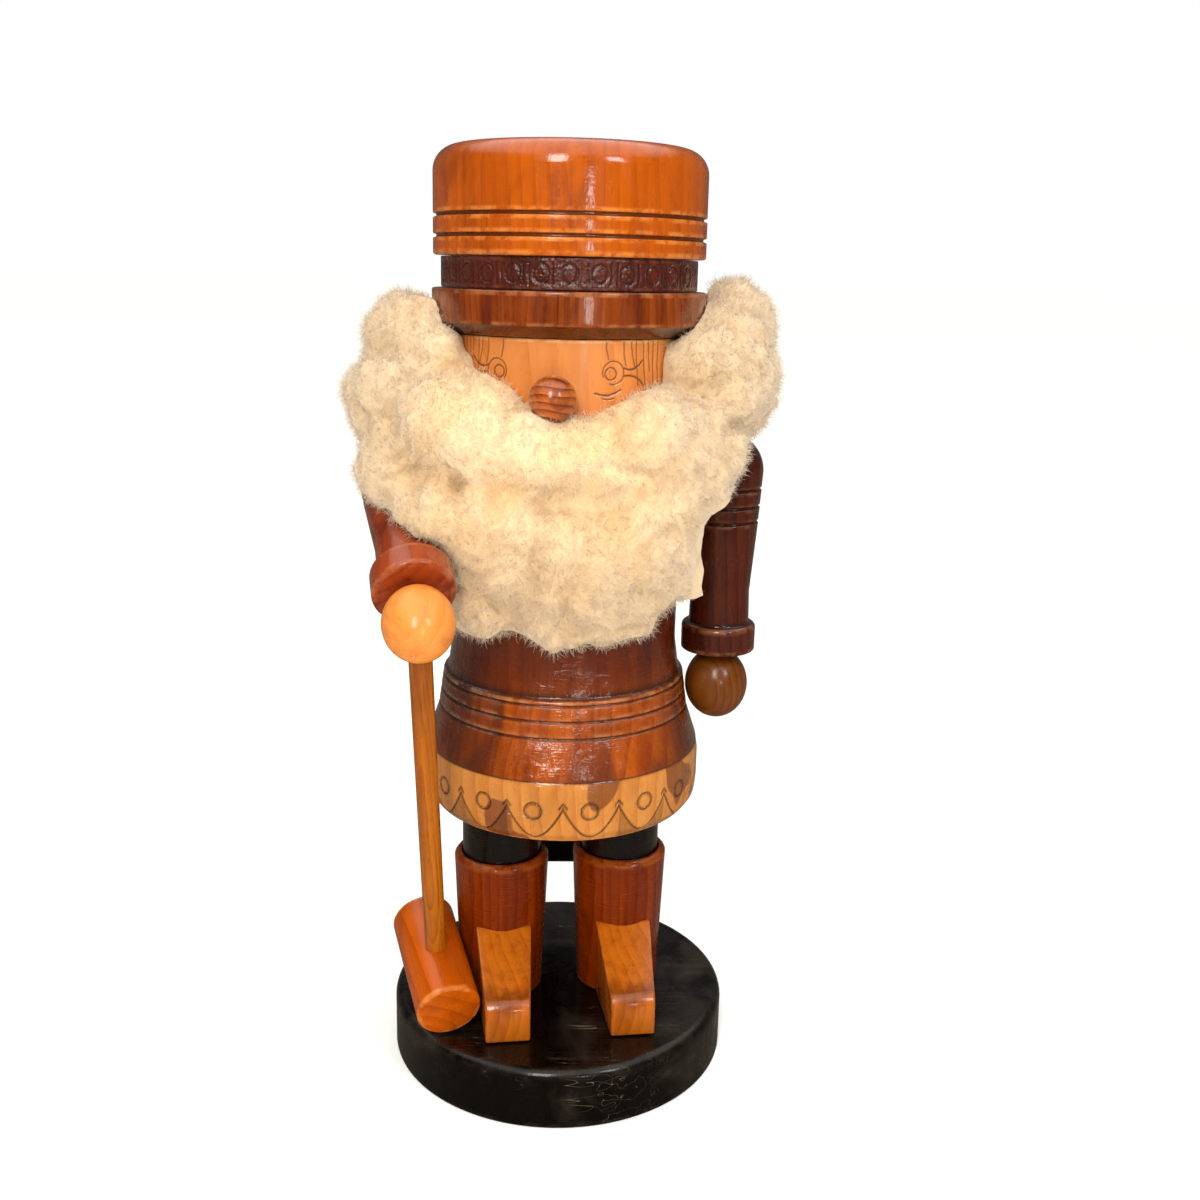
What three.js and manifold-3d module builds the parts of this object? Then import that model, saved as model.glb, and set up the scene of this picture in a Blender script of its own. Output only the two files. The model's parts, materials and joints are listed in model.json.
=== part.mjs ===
// A wooden nutcracker figure: a bearded man in a round hat, coat and boots on a black disc,
// with a jaw lever through the coat and a mallet in the right hand.
// Millimetres, +Z up. The origin is the centre of the underside of the base disc.
// The figure looks along -Y, so its left side is +X and its right side is -X.

import * as THREE from 'three';
import { mergeVertices } from 'three/addons/utils/BufferGeometryUtils.js';
import Module from 'manifold-3d';

const wasm = await Module();
wasm.setup();

// ---------------------------------------------------------------- driving dimensions

// Fits
const GLUE_LINE = 0.3; // between two pieces glued face to face
const PEG_FIT = 0.3; // around a dowel, tenon, screw or pin in its hole
const SLOT_FIT = 0.5; // each side of the lever in its slot
const FLEECE_GAP = 0.6; // between the fleece and the wood it is glued to

// Facets of the turned pieces
const LARGE_SIDES = 36;
const MIDDLE_SIDES = 22;
const SMALL_SIDES = 12;

// Base disc and its screws
const BASE_RADIUS = 60;
const BASE_HEIGHT = 20.9;
const BASE_ROUND = 3;
const BASE_CHAMFER = 0.8;
const SCREW_RADIUS = 2;
const SCREW_HEAD_RADIUS = 4;
const SCREW_HEAD_HEIGHT = 2.6;
const SCREW_SUNK = 1.5;
const SCREW_BITE = 18;
const SCREW_SLOT = 1;

// Stance: the legs and base are turned a little to the figure's left
const STANCE_HEADING = 5.5; // degrees
const LEG_SPACING = 43;

// Boots, feet and legs
const BOOT_HEIGHT = 52.4;
const BOOT_SOLE_RADIUS = 14.8;
const BOOT_TOP_RADIUS = 16.9;
const BOOT_RIM = 2.6;
const BOOT_RECESS = 4;
const LEG_SHOWN = 22.4;
const TENON_RADIUS = 6;
const TENON_LENGTH = 13;
const FOOT_REACH = 41.5; // from the boot's axis to the tip
const FOOT_REAR_WIDTH = 19.5;
const FOOT_TIP_WIDTH = 15.2;
const FOOT_REAR_HEIGHT = 28.5;
const FOOT_TIP_HEIGHT = 15;
const FOOT_NOSE_ROUND = 4.5;

// Coat: one turned piece from the hem to the shoulders
const COAT_HEIGHT = 128;
const HEM_RADIUS = 48;
const HEM_HEIGHT = 20.9;
const SKIRT_TOP_RADIUS = 42;
const SKIRT_TOP = 46.2; // ledge above the three skirt grooves
const COAT_WAIST_RADIUS = 38.8;
const COAT_WAIST = 64;
const SHOULDER_RADIUS = 40.4;
const SHOULDER_ROUND = 5;
const SKIRT_GROOVES = [34.2, 39.8, 45.0];
const GROOVE_WIDTH = 1.4;
const GROOVE_DEPTH = 0.9;

// Jaw lever
const LEVER_WIDTH = 22;
const JAW_THICKNESS = 14;
const JAW_REACH = 41.3; // from the figure's axis to the lower lip
const TAIL_THICKNESS = 11;
const TAIL_TIP_HEIGHT = 42;
const TAIL_TIP_REACH = 55;
const PIVOT_BEHIND = 19.5; // pivot, behind the figure's axis
const PIVOT_BELOW = 15.5; // pivot, below the top of the coat
const PIN_RADIUS = 2;
const PIN_BITE = 17; // in each cheek of the slot
const JAW_OPENING = 15; // degrees

// Head and nose
const HEAD_TURN = -6.5; // degrees, the head looks a little to the figure's right
const HEAD_RADIUS = 38;
const HEAD_HEIGHT = 33.3;
const HEAD_ROUND = 2;
const NECK_DOWEL_RADIUS = 4;
const NECK_DOWEL_BITE = 12;
const NECK_DOWEL_WALL = 8.5; // wood between the lever's slot and a neck dowel
const NECK_DOWEL_FORWARD = 14;
const NOSE_RADIUS = 7.3;
const NOSE_ABOVE = 15.7; // centre of the nose, above the head's underside
const NOSE_PEG_RADIUS = 2.5;
const NOSE_PEG_LENGTH = 10;

// Hat
const BRIM_OVERHANG = 1.6; // of its underside over the head
const BRIM_FLARE = 5.6; // of its rim over its underside
const BRIM_HEIGHT = 14;
const BRIM_CHAMFER = 3.6;
const BAND_INSET = 3; // of the band behind the brim
const BAND_HEIGHT = 9.7;
const CROWN_INSET = 0.5; // of the crown behind the brim
const CROWN_HEIGHT = 34.3;
const CROWN_ROUND = 8;
const CROWN_GROOVES = [6.1, 12.5];
const HAT_DOWEL_RADIUS = 6;
const HAT_DOWEL_BITE = 14;

// Arms: both are the same turned piece, hung on a dowel at the shoulder
const ARM_SHOULDER_RADIUS = 13.2;
const ARM_WRIST_RADIUS = 10.1;
const ARM_LENGTH = 63.2; // from the shoulder dowel to the end of the cuff
const ARM_GROOVES = [5.7, 11.7, 17];
const CUFF_RADIUS = 12.9;
const CUFF_HEIGHT = 9.6;
const SHOULDER_DROP = 11.5; // shoulder dowel, below the top of the coat
const SHOULDER_DOWEL_RADIUS = 4;
const SHOULDER_DOWEL_BITE = 14;
const SHOULDER_DOWEL_IN_ARM = 6; // past the arm's own axis
const WRIST_DOWEL_RADIUS = 3;
const WRIST_DOWEL_BITE = 10;
const WRIST_DOWEL_IN_HAND = 5.5;
const ARM_CLEARANCE = 0.3; // between the coat and the cuff or hand that hangs beside it
const HAND_RADIUS = 11;
const HAND_HALF_LENGTH = 12.5;
const LEFT_ARM = { side: 1, standoff: 0.6, forward: 0, heading: 0, swing: 0 };
const RIGHT_ARM = { side: -1, standoff: 3.9, forward: 3, heading: 12, swing: 61 };

// Mallet
const MALLET_RADIUS = 11;
const MALLET_LENGTH = 44;
const MALLET_FACE_TO_HANDLE = 20;
const MALLET_CHAMFER = 0.8;
const MALLET_ASIDE = 5; // handle's axis at the base, outside the right boot
const MALLET_AHEAD = 20.5; // handle's axis at the base, in front of the right boot's axis
const MALLET_HEADING = 16; // degrees, the striking face looks to the figure's left
const HANDLE_RADIUS = 3.65;
const HANDLE_SHORT_OF_HAND_CENTRE = 1;
const HANDLE_IN_HEAD = 16;

// Fleece beard: round tufts, each placed round the figure's axis from the front (degrees),
// out from the surface of the wood, and above the top of the coat
const BEARD_CHEST = { round: 0, out: -3.4, above: -28, size: [40, 29, 40] };
const BEARD_CHIN = { round: 0, out: 3.6, above: -7, size: [38, 24, 22] };
const BEARD_JOWL = { round: 41.4, out: 7.3, above: 0, size: [27, 26, 27] };
const BEARD_CHEEK = { round: 80.7, out: 11.6, above: 22, size: [26, 32, 37] };
const FACE_WINDOW_MARGIN = 2; // the window is this much wider than the head, each side
const FACE_WINDOW_HALF_HEIGHT = 33;
const FACE_WINDOW_ABOVE = 6; // centre of the window, above the top of the head
const BEARD_SIDES = 16;
const BEARD_ROWS = 10;

// ---------------------------------------------------------------- levels and places

const rad = THREE.MathUtils.degToRad;

const bootBottom = BASE_HEIGHT + GLUE_LINE;
const bootTop = bootBottom + BOOT_HEIGHT;
const coatBottom = bootTop + LEG_SHOWN;
const coatTop = coatBottom + COAT_HEIGHT;
const headBottom = coatTop + GLUE_LINE;
const headTop = headBottom + HEAD_HEIGHT;
const brimBottom = headTop + GLUE_LINE;
const brimTop = brimBottom + BRIM_HEIGHT;
const bandBottom = brimTop + GLUE_LINE;
const bandTop = bandBottom + BAND_HEIGHT;
const crownBottom = bandTop + GLUE_LINE;
const crownTop = crownBottom + CROWN_HEIGHT;
const shoulderLevel = coatTop - SHOULDER_DROP;
const brimUnderRadius = HEAD_RADIUS + BRIM_OVERHANG;
const brimRadius = brimUnderRadius + BRIM_FLARE;
const bandRadius = brimRadius - BAND_INSET;
const crownRadius = brimRadius - CROWN_INSET;
const slotHalf = LEVER_WIDTH / 2 + SLOT_FIT;
const neckDowelAside = slotHalf + NECK_DOWEL_WALL + NECK_DOWEL_RADIUS;
const pivot = { y: PIVOT_BEHIND, z: coatTop - PIVOT_BELOW };
const handBelowShoulder = ARM_LENGTH + GLUE_LINE + HAND_HALF_LENGTH;

// ---------------------------------------------------------------- helpers

// A cut that runs out of a piece goes this far past its surface.
const PAST_SURFACE = 30;

// Solid of revolution about +Z. The outline is a path of (radius, height).
function turned(outline, sides, arcSteps = 3) {
  const geometry = new THREE.LatheGeometry(outline.getPoints(arcSteps), sides);
  geometry.rotateX(Math.PI / 2);
  return geometry;
}

// Round bar along +Z between two heights.
function bar(radius, from, to, sides = SMALL_SIDES) {
  const geometry = new THREE.CylinderGeometry(radius, radius, to - from, sides);
  geometry.rotateX(Math.PI / 2);
  geometry.translate(0, 0, (from + to) / 2);
  return geometry;
}

// Round bar along +X between two stations.
function crossBar(radius, from, to, sides = SMALL_SIDES) {
  const geometry = bar(radius, from, to, sides);
  geometry.rotateY(Math.PI / 2);
  return geometry;
}

// Plate of a side outline: the shape is drawn in (y, z) and is as wide as given about x = 0.
function sidePlate(shape, width) {
  const options = { depth: width, bevelEnabled: false, curveSegments: 5 };
  const geometry = new THREE.ExtrudeGeometry(shape, options);
  geometry.translate(0, 0, -width / 2);
  geometry.rotateY(Math.PI / 2);
  geometry.rotateX(Math.PI / 2);
  return geometry;
}

// A V groove in a turned outline, at a height where the outline has this radius.
function groove(outline, radius, height) {
  outline.lineTo(radius, height - GROOVE_WIDTH / 2);
  outline.lineTo(radius - GROOVE_DEPTH, height);
  outline.lineTo(radius, height + GROOVE_WIDTH / 2);
}

function mix(from, to, share) {
  return from + (to - from) * share;
}

// A manifold-3d solid of a closed geometry, with shared corners merged and slivers dropped.
function solidOf(geometry) {
  const bare = geometry.clone();
  bare.deleteAttribute('normal');
  bare.deleteAttribute('uv');
  const merged = mergeVertices(bare);
  const corners = merged.index.array;
  const triangles = [];
  for (let i = 0; i < corners.length; i += 3) {
    const [a, b, c] = corners.slice(i, i + 3);
    if (a !== b && b !== c && c !== a) {
      triangles.push(a, b, c);
    }
  }
  const mesh = new wasm.Mesh({
    numProp: 3,
    vertProperties: new Float32Array(merged.attributes.position.array),
    triVerts: new Uint32Array(triangles),
  });
  return new wasm.Manifold(mesh);
}

function geometryOf(solid) {
  const mesh = solid.getMesh();
  const geometry = new THREE.BufferGeometry();
  geometry.setAttribute('position', new THREE.BufferAttribute(mesh.vertProperties, 3));
  geometry.setIndex(new THREE.BufferAttribute(mesh.triVerts, 1));
  geometry.computeVertexNormals();
  return geometry;
}

function cut(geometry, tools) {
  let solid = solidOf(geometry);
  for (const tool of tools) {
    solid = solid.subtract(solidOf(tool));
  }
  return geometryOf(solid);
}

function joined(geometries) {
  let solid = solidOf(geometries[0]);
  for (const geometry of geometries.slice(1)) {
    solid = solid.add(solidOf(geometry));
  }
  return geometryOf(solid);
}

function common(first, second) {
  return geometryOf(solidOf(first).intersect(solidOf(second)));
}

function lacquered(color) {
  return new THREE.MeshStandardMaterial({ color, roughness: 0.3, metalness: 0 });
}

function bareWood(color) {
  return new THREE.MeshStandardMaterial({ color, roughness: 0.6, metalness: 0 });
}

function steel() {
  return new THREE.MeshStandardMaterial({ color: 0xa8a8a6, roughness: 0.4, metalness: 0.9 });
}

function addPiece(parent, name, geometry, material) {
  const mesh = new THREE.Mesh(geometry, material);
  mesh.name = name;
  parent.add(mesh);
  return mesh;
}

// ---------------------------------------------------------------- base, screws and legs

function baseDisc() {
  const outline = new THREE.Path();
  outline.moveTo(0, 0);
  outline.lineTo(BASE_RADIUS - BASE_CHAMFER, 0);
  outline.lineTo(BASE_RADIUS, BASE_CHAMFER);
  outline.lineTo(BASE_RADIUS, BASE_HEIGHT - BASE_ROUND);
  outline.absarc(BASE_RADIUS - BASE_ROUND, BASE_HEIGHT - BASE_ROUND, BASE_ROUND, 0, Math.PI / 2);
  outline.lineTo(0, BASE_HEIGHT);
  const holes = [-1, 1].map((side) => {
    const hole = turned(screwOutline(PEG_FIT, -PAST_SURFACE, BASE_HEIGHT + PAST_SURFACE), SMALL_SIDES);
    hole.translate(side * LEG_SPACING / 2, 0, 0);
    return hole;
  });
  return cut(turned(outline, LARGE_SIDES), holes);
}

// Outline of a countersunk screw, or of its hole when it is grown by a clearance.
function screwOutline(grown, from, to) {
  const headRadius = SCREW_HEAD_RADIUS + grown;
  const shankRadius = SCREW_RADIUS + grown;
  const outline = new THREE.Path();
  outline.moveTo(0, from);
  outline.lineTo(headRadius, from);
  if (from < SCREW_SUNK) {
    outline.lineTo(headRadius, SCREW_SUNK);
  }
  outline.lineTo(shankRadius, SCREW_SUNK + SCREW_HEAD_HEIGHT);
  outline.lineTo(shankRadius, to);
  outline.lineTo(0, to);
  return outline;
}

function baseScrew() {
  const slot = new THREE.BoxGeometry(3 * SCREW_HEAD_RADIUS, SCREW_SLOT, 2 * SCREW_SLOT);
  slot.translate(0, 0, SCREW_SUNK);
  return cut(turned(screwOutline(0, SCREW_SUNK, bootBottom + SCREW_BITE), SMALL_SIDES), [slot]);
}

// Outer cone of a boot, grown by a clearance.
function bootCone(grown) {
  const outline = new THREE.Path();
  outline.moveTo(0, bootBottom - grown);
  outline.lineTo(BOOT_SOLE_RADIUS + grown, bootBottom - grown);
  outline.lineTo(BOOT_TOP_RADIUS + grown, bootTop - BOOT_RIM / 2);
  outline.lineTo(BOOT_TOP_RADIUS - BOOT_RIM / 2 + grown, bootTop + grown);
  outline.lineTo(0, bootTop + grown);
  return turned(outline, MIDDLE_SIDES);
}

function boot() {
  const recessFloor = bootTop - BOOT_RECESS;
  const recess = bar(BOOT_TOP_RADIUS - BOOT_RIM, recessFloor, bootTop + PAST_SURFACE, MIDDLE_SIDES);
  const socket = bar(TENON_RADIUS + PEG_FIT, recessFloor - TENON_LENGTH - GLUE_LINE, bootTop);
  const pilot = bar(SCREW_RADIUS + PEG_FIT, bootBottom - PAST_SURFACE, bootBottom + SCREW_BITE + PEG_FIT);
  return cut(bootCone(0), [recess, socket, pilot]);
}

function leg() {
  const radius = BOOT_TOP_RADIUS - BOOT_RIM - GLUE_LINE;
  const shoulder = bootTop - BOOT_RECESS + GLUE_LINE;
  const outline = new THREE.Path();
  outline.moveTo(0, shoulder - TENON_LENGTH);
  outline.lineTo(TENON_RADIUS, shoulder - TENON_LENGTH);
  outline.lineTo(TENON_RADIUS, shoulder);
  outline.lineTo(radius, shoulder);
  outline.lineTo(radius, coatBottom - GLUE_LINE);
  outline.lineTo(TENON_RADIUS, coatBottom - GLUE_LINE);
  outline.lineTo(TENON_RADIUS, coatBottom + TENON_LENGTH);
  outline.lineTo(0, coatBottom + TENON_LENGTH);
  return turned(outline, MIDDLE_SIDES);
}

// Foot block: a sloping top, a rounded nose and sides that narrow to the tip,
// hollowed at the back to fit the round boot.
function foot() {
  const tipTop = bootBottom + FOOT_TIP_HEIGHT;
  const side = new THREE.Shape();
  side.moveTo(0, bootBottom);
  side.lineTo(-FOOT_REACH, bootBottom);
  side.lineTo(-FOOT_REACH, tipTop - FOOT_NOSE_ROUND);
  side.quadraticCurveTo(-FOOT_REACH, tipTop, -FOOT_REACH + FOOT_NOSE_ROUND, tipTop);
  side.lineTo(0, bootBottom + FOOT_REAR_HEIGHT * FOOT_REACH / (FOOT_REACH - BOOT_SOLE_RADIUS));
  const block = sidePlate(side, FOOT_REAR_WIDTH);
  const plan = new THREE.Shape();
  plan.moveTo(-FOOT_REAR_WIDTH / 2, -BOOT_SOLE_RADIUS / 2);
  plan.lineTo(-FOOT_TIP_WIDTH / 2, -FOOT_REACH - 1);
  plan.lineTo(FOOT_TIP_WIDTH / 2, -FOOT_REACH - 1);
  plan.lineTo(FOOT_REAR_WIDTH / 2, -BOOT_SOLE_RADIUS / 2);
  const trim = new THREE.ExtrudeGeometry(plan, { depth: bootTop, bevelEnabled: false });
  return cut(common(block, trim), [bootCone(GLUE_LINE)]);
}

// ---------------------------------------------------------------- coat, lever and pin

// The hem flares out, the skirt narrows over three grooves to a ledge, and the coat is
// nearly straight from there to its rounded shoulders.
function coatOutline() {
  const outline = new THREE.Path();
  outline.moveTo(0, 0);
  outline.lineTo(HEM_RADIUS - 2.6, 0);
  outline.quadraticCurveTo(HEM_RADIUS, 2, HEM_RADIUS, 9);
  outline.lineTo(HEM_RADIUS, HEM_HEIGHT - 4);
  outline.quadraticCurveTo(HEM_RADIUS - 0.2, HEM_HEIGHT, HEM_RADIUS - 1.6, HEM_HEIGHT + 4.5);
  const [first] = SKIRT_GROOVES;
  for (const height of SKIRT_GROOVES) {
    const share = (height - first) / (SKIRT_TOP - first);
    groove(outline, mix(SKIRT_TOP_RADIUS + 1.6, SKIRT_TOP_RADIUS, share), height);
  }
  outline.lineTo(SKIRT_TOP_RADIUS, SKIRT_TOP);
  outline.lineTo(SKIRT_TOP_RADIUS - 1.7, SKIRT_TOP + 0.6);
  outline.quadraticCurveTo(COAT_WAIST_RADIUS, SKIRT_TOP + 6, COAT_WAIST_RADIUS, COAT_WAIST);
  outline.quadraticCurveTo(COAT_WAIST_RADIUS, COAT_WAIST + 20, SHOULDER_RADIUS, COAT_HEIGHT - 25);
  outline.lineTo(SHOULDER_RADIUS, COAT_HEIGHT - SHOULDER_ROUND);
  outline.quadraticCurveTo(SHOULDER_RADIUS, COAT_HEIGHT, SHOULDER_RADIUS - SHOULDER_ROUND, COAT_HEIGHT);
  outline.lineTo(0, COAT_HEIGHT);
  return outline;
}

// Where the faces of the lever's tail cross a height.
function tailFace(height, offset) {
  const drop = (pivot.z - height) / (pivot.z - TAIL_TIP_HEIGHT);
  return mix(pivot.y, TAIL_TIP_REACH, drop) + offset;
}

function jawLever() {
  const top = coatTop - SLOT_FIT;
  const underside = top - JAW_THICKNESS;
  const lip = -JAW_REACH;
  const side = new THREE.Shape();
  side.moveTo(lip + 1.5, underside);
  side.lineTo(lip, underside + 2);
  side.lineTo(lip, top - 2.5);
  side.quadraticCurveTo(lip, top, lip + 2.5, top);
  side.lineTo(pivot.y, top);
  side.lineTo(tailFace(pivot.z + 5, TAIL_THICKNESS / 2), pivot.z + 5);
  side.lineTo(tailFace(TAIL_TIP_HEIGHT, TAIL_THICKNESS / 2), TAIL_TIP_HEIGHT);
  side.lineTo(tailFace(TAIL_TIP_HEIGHT, -TAIL_THICKNESS / 2), TAIL_TIP_HEIGHT);
  side.lineTo(tailFace(pivot.z - 8, -TAIL_THICKNESS / 2), pivot.z - 8);
  side.lineTo(pivot.y - TAIL_THICKNESS, underside);
  const hole = crossBar(PIN_RADIUS + PEG_FIT, -LEVER_WIDTH, LEVER_WIDTH);
  hole.translate(0, pivot.y, pivot.z);
  return cut(sidePlate(side, LEVER_WIDTH), [hole]);
}

// Slot for the lever: a mouth at the front, deep enough for the open jaw, and a
// groove down the back for the tail.
function leverSlot() {
  const drop = (JAW_REACH + pivot.y) * Math.tan(rad(JAW_OPENING));
  const mouthFloor = coatTop - JAW_THICKNESS - 3 * SLOT_FIT - drop;
  const heelFloor = pivot.z - 8 - 2 * SLOT_FIT;
  const inner = -TAIL_THICKNESS / 2 - SLOT_FIT;
  const side = new THREE.Shape();
  side.moveTo(-JAW_REACH - PAST_SURFACE, mouthFloor);
  side.lineTo(-JAW_REACH, mouthFloor);
  side.lineTo(pivot.y - TAIL_THICKNESS, heelFloor - 3);
  side.lineTo(tailFace(heelFloor, inner), heelFloor - 3);
  side.lineTo(tailFace(coatBottom - 1, inner), coatBottom - 1);
  side.lineTo(HEM_RADIUS + PAST_SURFACE, coatBottom - 1);
  side.lineTo(HEM_RADIUS + PAST_SURFACE, coatTop + 1);
  side.lineTo(-JAW_REACH - PAST_SURFACE, coatTop + 1);
  return sidePlate(side, 2 * slotHalf);
}

// The pin goes in from the figure's right side and ends inside the left cheek of the slot.
const pinEnd = slotHalf + PIN_BITE;

function pinAt(radius, from, to) {
  const pin = crossBar(radius, from, to);
  pin.translate(0, pivot.y, pivot.z);
  return pin;
}

function neckDowels(radius, from, to) {
  return [-1, 1].map((side) => {
    const dowel = bar(radius, from, to);
    dowel.translate(side * neckDowelAside, -NECK_DOWEL_FORWARD, 0);
    return dowel;
  });
}

function coat(shoulderHoles) {
  const body = turned(coatOutline(), LARGE_SIDES);
  body.translate(0, 0, coatBottom);
  const legSockets = [-1, 1].map((side) => {
    const socketTop = coatBottom + TENON_LENGTH + GLUE_LINE;
    const socket = bar(TENON_RADIUS + PEG_FIT, coatBottom - PAST_SURFACE, socketTop);
    socket.translate(side * LEG_SPACING / 2, 0, 0);
    socket.rotateZ(rad(STANCE_HEADING));
    return socket;
  });
  const neckSockets = neckDowels(
    NECK_DOWEL_RADIUS + PEG_FIT,
    coatTop - NECK_DOWEL_BITE - GLUE_LINE,
    coatTop + PAST_SURFACE,
  );
  const pinHole = pinAt(PIN_RADIUS + PEG_FIT, -HEM_RADIUS - PAST_SURFACE, pinEnd + PEG_FIT);
  return cut(body, [leverSlot(), pinHole, ...legSockets, ...neckSockets, ...shoulderHoles]);
}

// ---------------------------------------------------------------- head, nose and hat

const noseOut = HEAD_RADIUS + NOSE_RADIUS + GLUE_LINE;

function head() {
  const outline = new THREE.Path();
  outline.moveTo(0, headBottom);
  outline.lineTo(HEAD_RADIUS - HEAD_ROUND, headBottom);
  outline.quadraticCurveTo(HEAD_RADIUS, headBottom, HEAD_RADIUS, headBottom + HEAD_ROUND);
  outline.lineTo(HEAD_RADIUS, headTop);
  outline.lineTo(0, headTop);
  const neckSockets = neckDowels(
    NECK_DOWEL_RADIUS + PEG_FIT,
    headBottom - PAST_SURFACE,
    headBottom + NECK_DOWEL_BITE + GLUE_LINE,
  );
  for (const socket of neckSockets) {
    socket.rotateZ(rad(-HEAD_TURN));
  }
  const hatSocket = bar(
    HAT_DOWEL_RADIUS + PEG_FIT,
    headTop - HAT_DOWEL_BITE - GLUE_LINE,
    headTop + PAST_SURFACE,
  );
  const noseHole = bar(NOSE_PEG_RADIUS + PEG_FIT, -NOSE_PEG_LENGTH - GLUE_LINE, PAST_SURFACE);
  noseHole.rotateX(Math.PI / 2);
  noseHole.translate(0, -HEAD_RADIUS, headBottom + NOSE_ABOVE);
  return cut(turned(outline, LARGE_SIDES), [...neckSockets, hatSocket, noseHole]);
}

// The nose is a ball with a peg behind it, turned about the peg.
function nose() {
  const ballToPeg = Math.sqrt(NOSE_RADIUS ** 2 - NOSE_PEG_RADIUS ** 2);
  const outline = new THREE.Path();
  outline.moveTo(0, -NOSE_RADIUS - GLUE_LINE - NOSE_PEG_LENGTH);
  outline.lineTo(NOSE_PEG_RADIUS, -NOSE_RADIUS - GLUE_LINE - NOSE_PEG_LENGTH);
  outline.lineTo(NOSE_PEG_RADIUS, -ballToPeg);
  outline.absarc(0, 0, NOSE_RADIUS, -Math.atan2(ballToPeg, NOSE_PEG_RADIUS), Math.PI / 2);
  const ball = turned(outline, MIDDLE_SIDES, 6);
  ball.rotateX(Math.PI / 2);
  ball.translate(0, -noseOut, headBottom + NOSE_ABOVE);
  return ball;
}

const hatDowelHole = bar(HAT_DOWEL_RADIUS + PEG_FIT, headTop, crownBottom + HAT_DOWEL_BITE + GLUE_LINE);

function hatBrim() {
  const outline = new THREE.Path();
  outline.moveTo(0, brimBottom);
  outline.lineTo(brimUnderRadius, brimBottom);
  outline.lineTo(brimRadius, brimBottom + BRIM_CHAMFER);
  outline.lineTo(brimRadius, brimTop - 0.6);
  outline.lineTo(brimRadius - 0.6, brimTop);
  outline.lineTo(0, brimTop);
  return cut(turned(outline, LARGE_SIDES), [hatDowelHole]);
}

function hatBand() {
  return cut(bar(bandRadius, bandBottom, bandTop, LARGE_SIDES), [hatDowelHole]);
}

function hatCrown() {
  const outline = new THREE.Path();
  outline.moveTo(0, crownBottom);
  outline.lineTo(crownRadius - 0.8, crownBottom);
  outline.lineTo(crownRadius, crownBottom + 0.8);
  for (const height of CROWN_GROOVES) {
    groove(outline, crownRadius, crownBottom + height);
  }
  outline.lineTo(crownRadius, crownTop - CROWN_ROUND);
  outline.absarc(crownRadius - CROWN_ROUND, crownTop - CROWN_ROUND, CROWN_ROUND, 0, Math.PI / 2);
  outline.lineTo(0, crownTop);
  return cut(turned(outline, LARGE_SIDES), [hatDowelHole]);
}

// ---------------------------------------------------------------- arms and hands

// Radius of the coat at a height above its hem.
function coatRadiusAt(height) {
  const points = coatOutline().getPoints(8);
  const next = points.findIndex((point, index) => index > 1 && point.y >= height);
  const [below, above] = [points[next - 1], points[next]];
  return mix(below.x, above.x, (height - below.y) / (above.y - below.y));
}

// How far from the figure's axis an arm hangs: as near as its standoff allows, or further
// out where the coat flares beside its cuff or hand.
function armReachOut(standoff) {
  let out = SHOULDER_RADIUS + standoff + ARM_SHOULDER_RADIUS;
  const handBottom = handBelowShoulder + HAND_HALF_LENGTH;
  for (let below = ARM_LENGTH - CUFF_HEIGHT; below < handBottom; below += 1) {
    const alongHand = (below - handBelowShoulder) / HAND_HALF_LENGTH;
    const handWidth = HAND_RADIUS * Math.sqrt(1 - Math.min(1, alongHand ** 2));
    const width = below < ARM_LENGTH ? CUFF_RADIUS : handWidth;
    const height = shoulderLevel - below - coatBottom;
    if (height > 0) {
      out = Math.max(out, coatRadiusAt(height) + ARM_CLEARANCE + width);
    }
  }
  return out;
}

// An arm hangs along its own -Z from the shoulder dowel, which lies along its own X.
function armGroup({ side, standoff, forward, heading, swing }) {
  const group = new THREE.Group();
  const out = armReachOut(standoff);
  group.position.set(side * out, -forward, shoulderLevel);
  group.rotation.set(-rad(swing), 0, rad(heading), 'ZYX');
  group.updateMatrixWorld(true);
  return group;
}

// Shoulder dowel or its hole, in the arm's own frame.
function shoulderDowel({ side, standoff }, radius, endGap) {
  const intoArm = SHOULDER_DOWEL_IN_ARM + endGap;
  const intoCoat = armReachOut(standoff) - SHOULDER_RADIUS + SHOULDER_DOWEL_BITE + endGap;
  return side > 0 ? crossBar(radius, -intoCoat, intoArm) : crossBar(radius, -intoArm, intoCoat);
}

function wristDowel(radius, endGap) {
  const intoHand = ARM_LENGTH + GLUE_LINE + WRIST_DOWEL_IN_HAND + endGap;
  return bar(radius, -intoHand, -ARM_LENGTH + WRIST_DOWEL_BITE + endGap);
}

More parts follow.
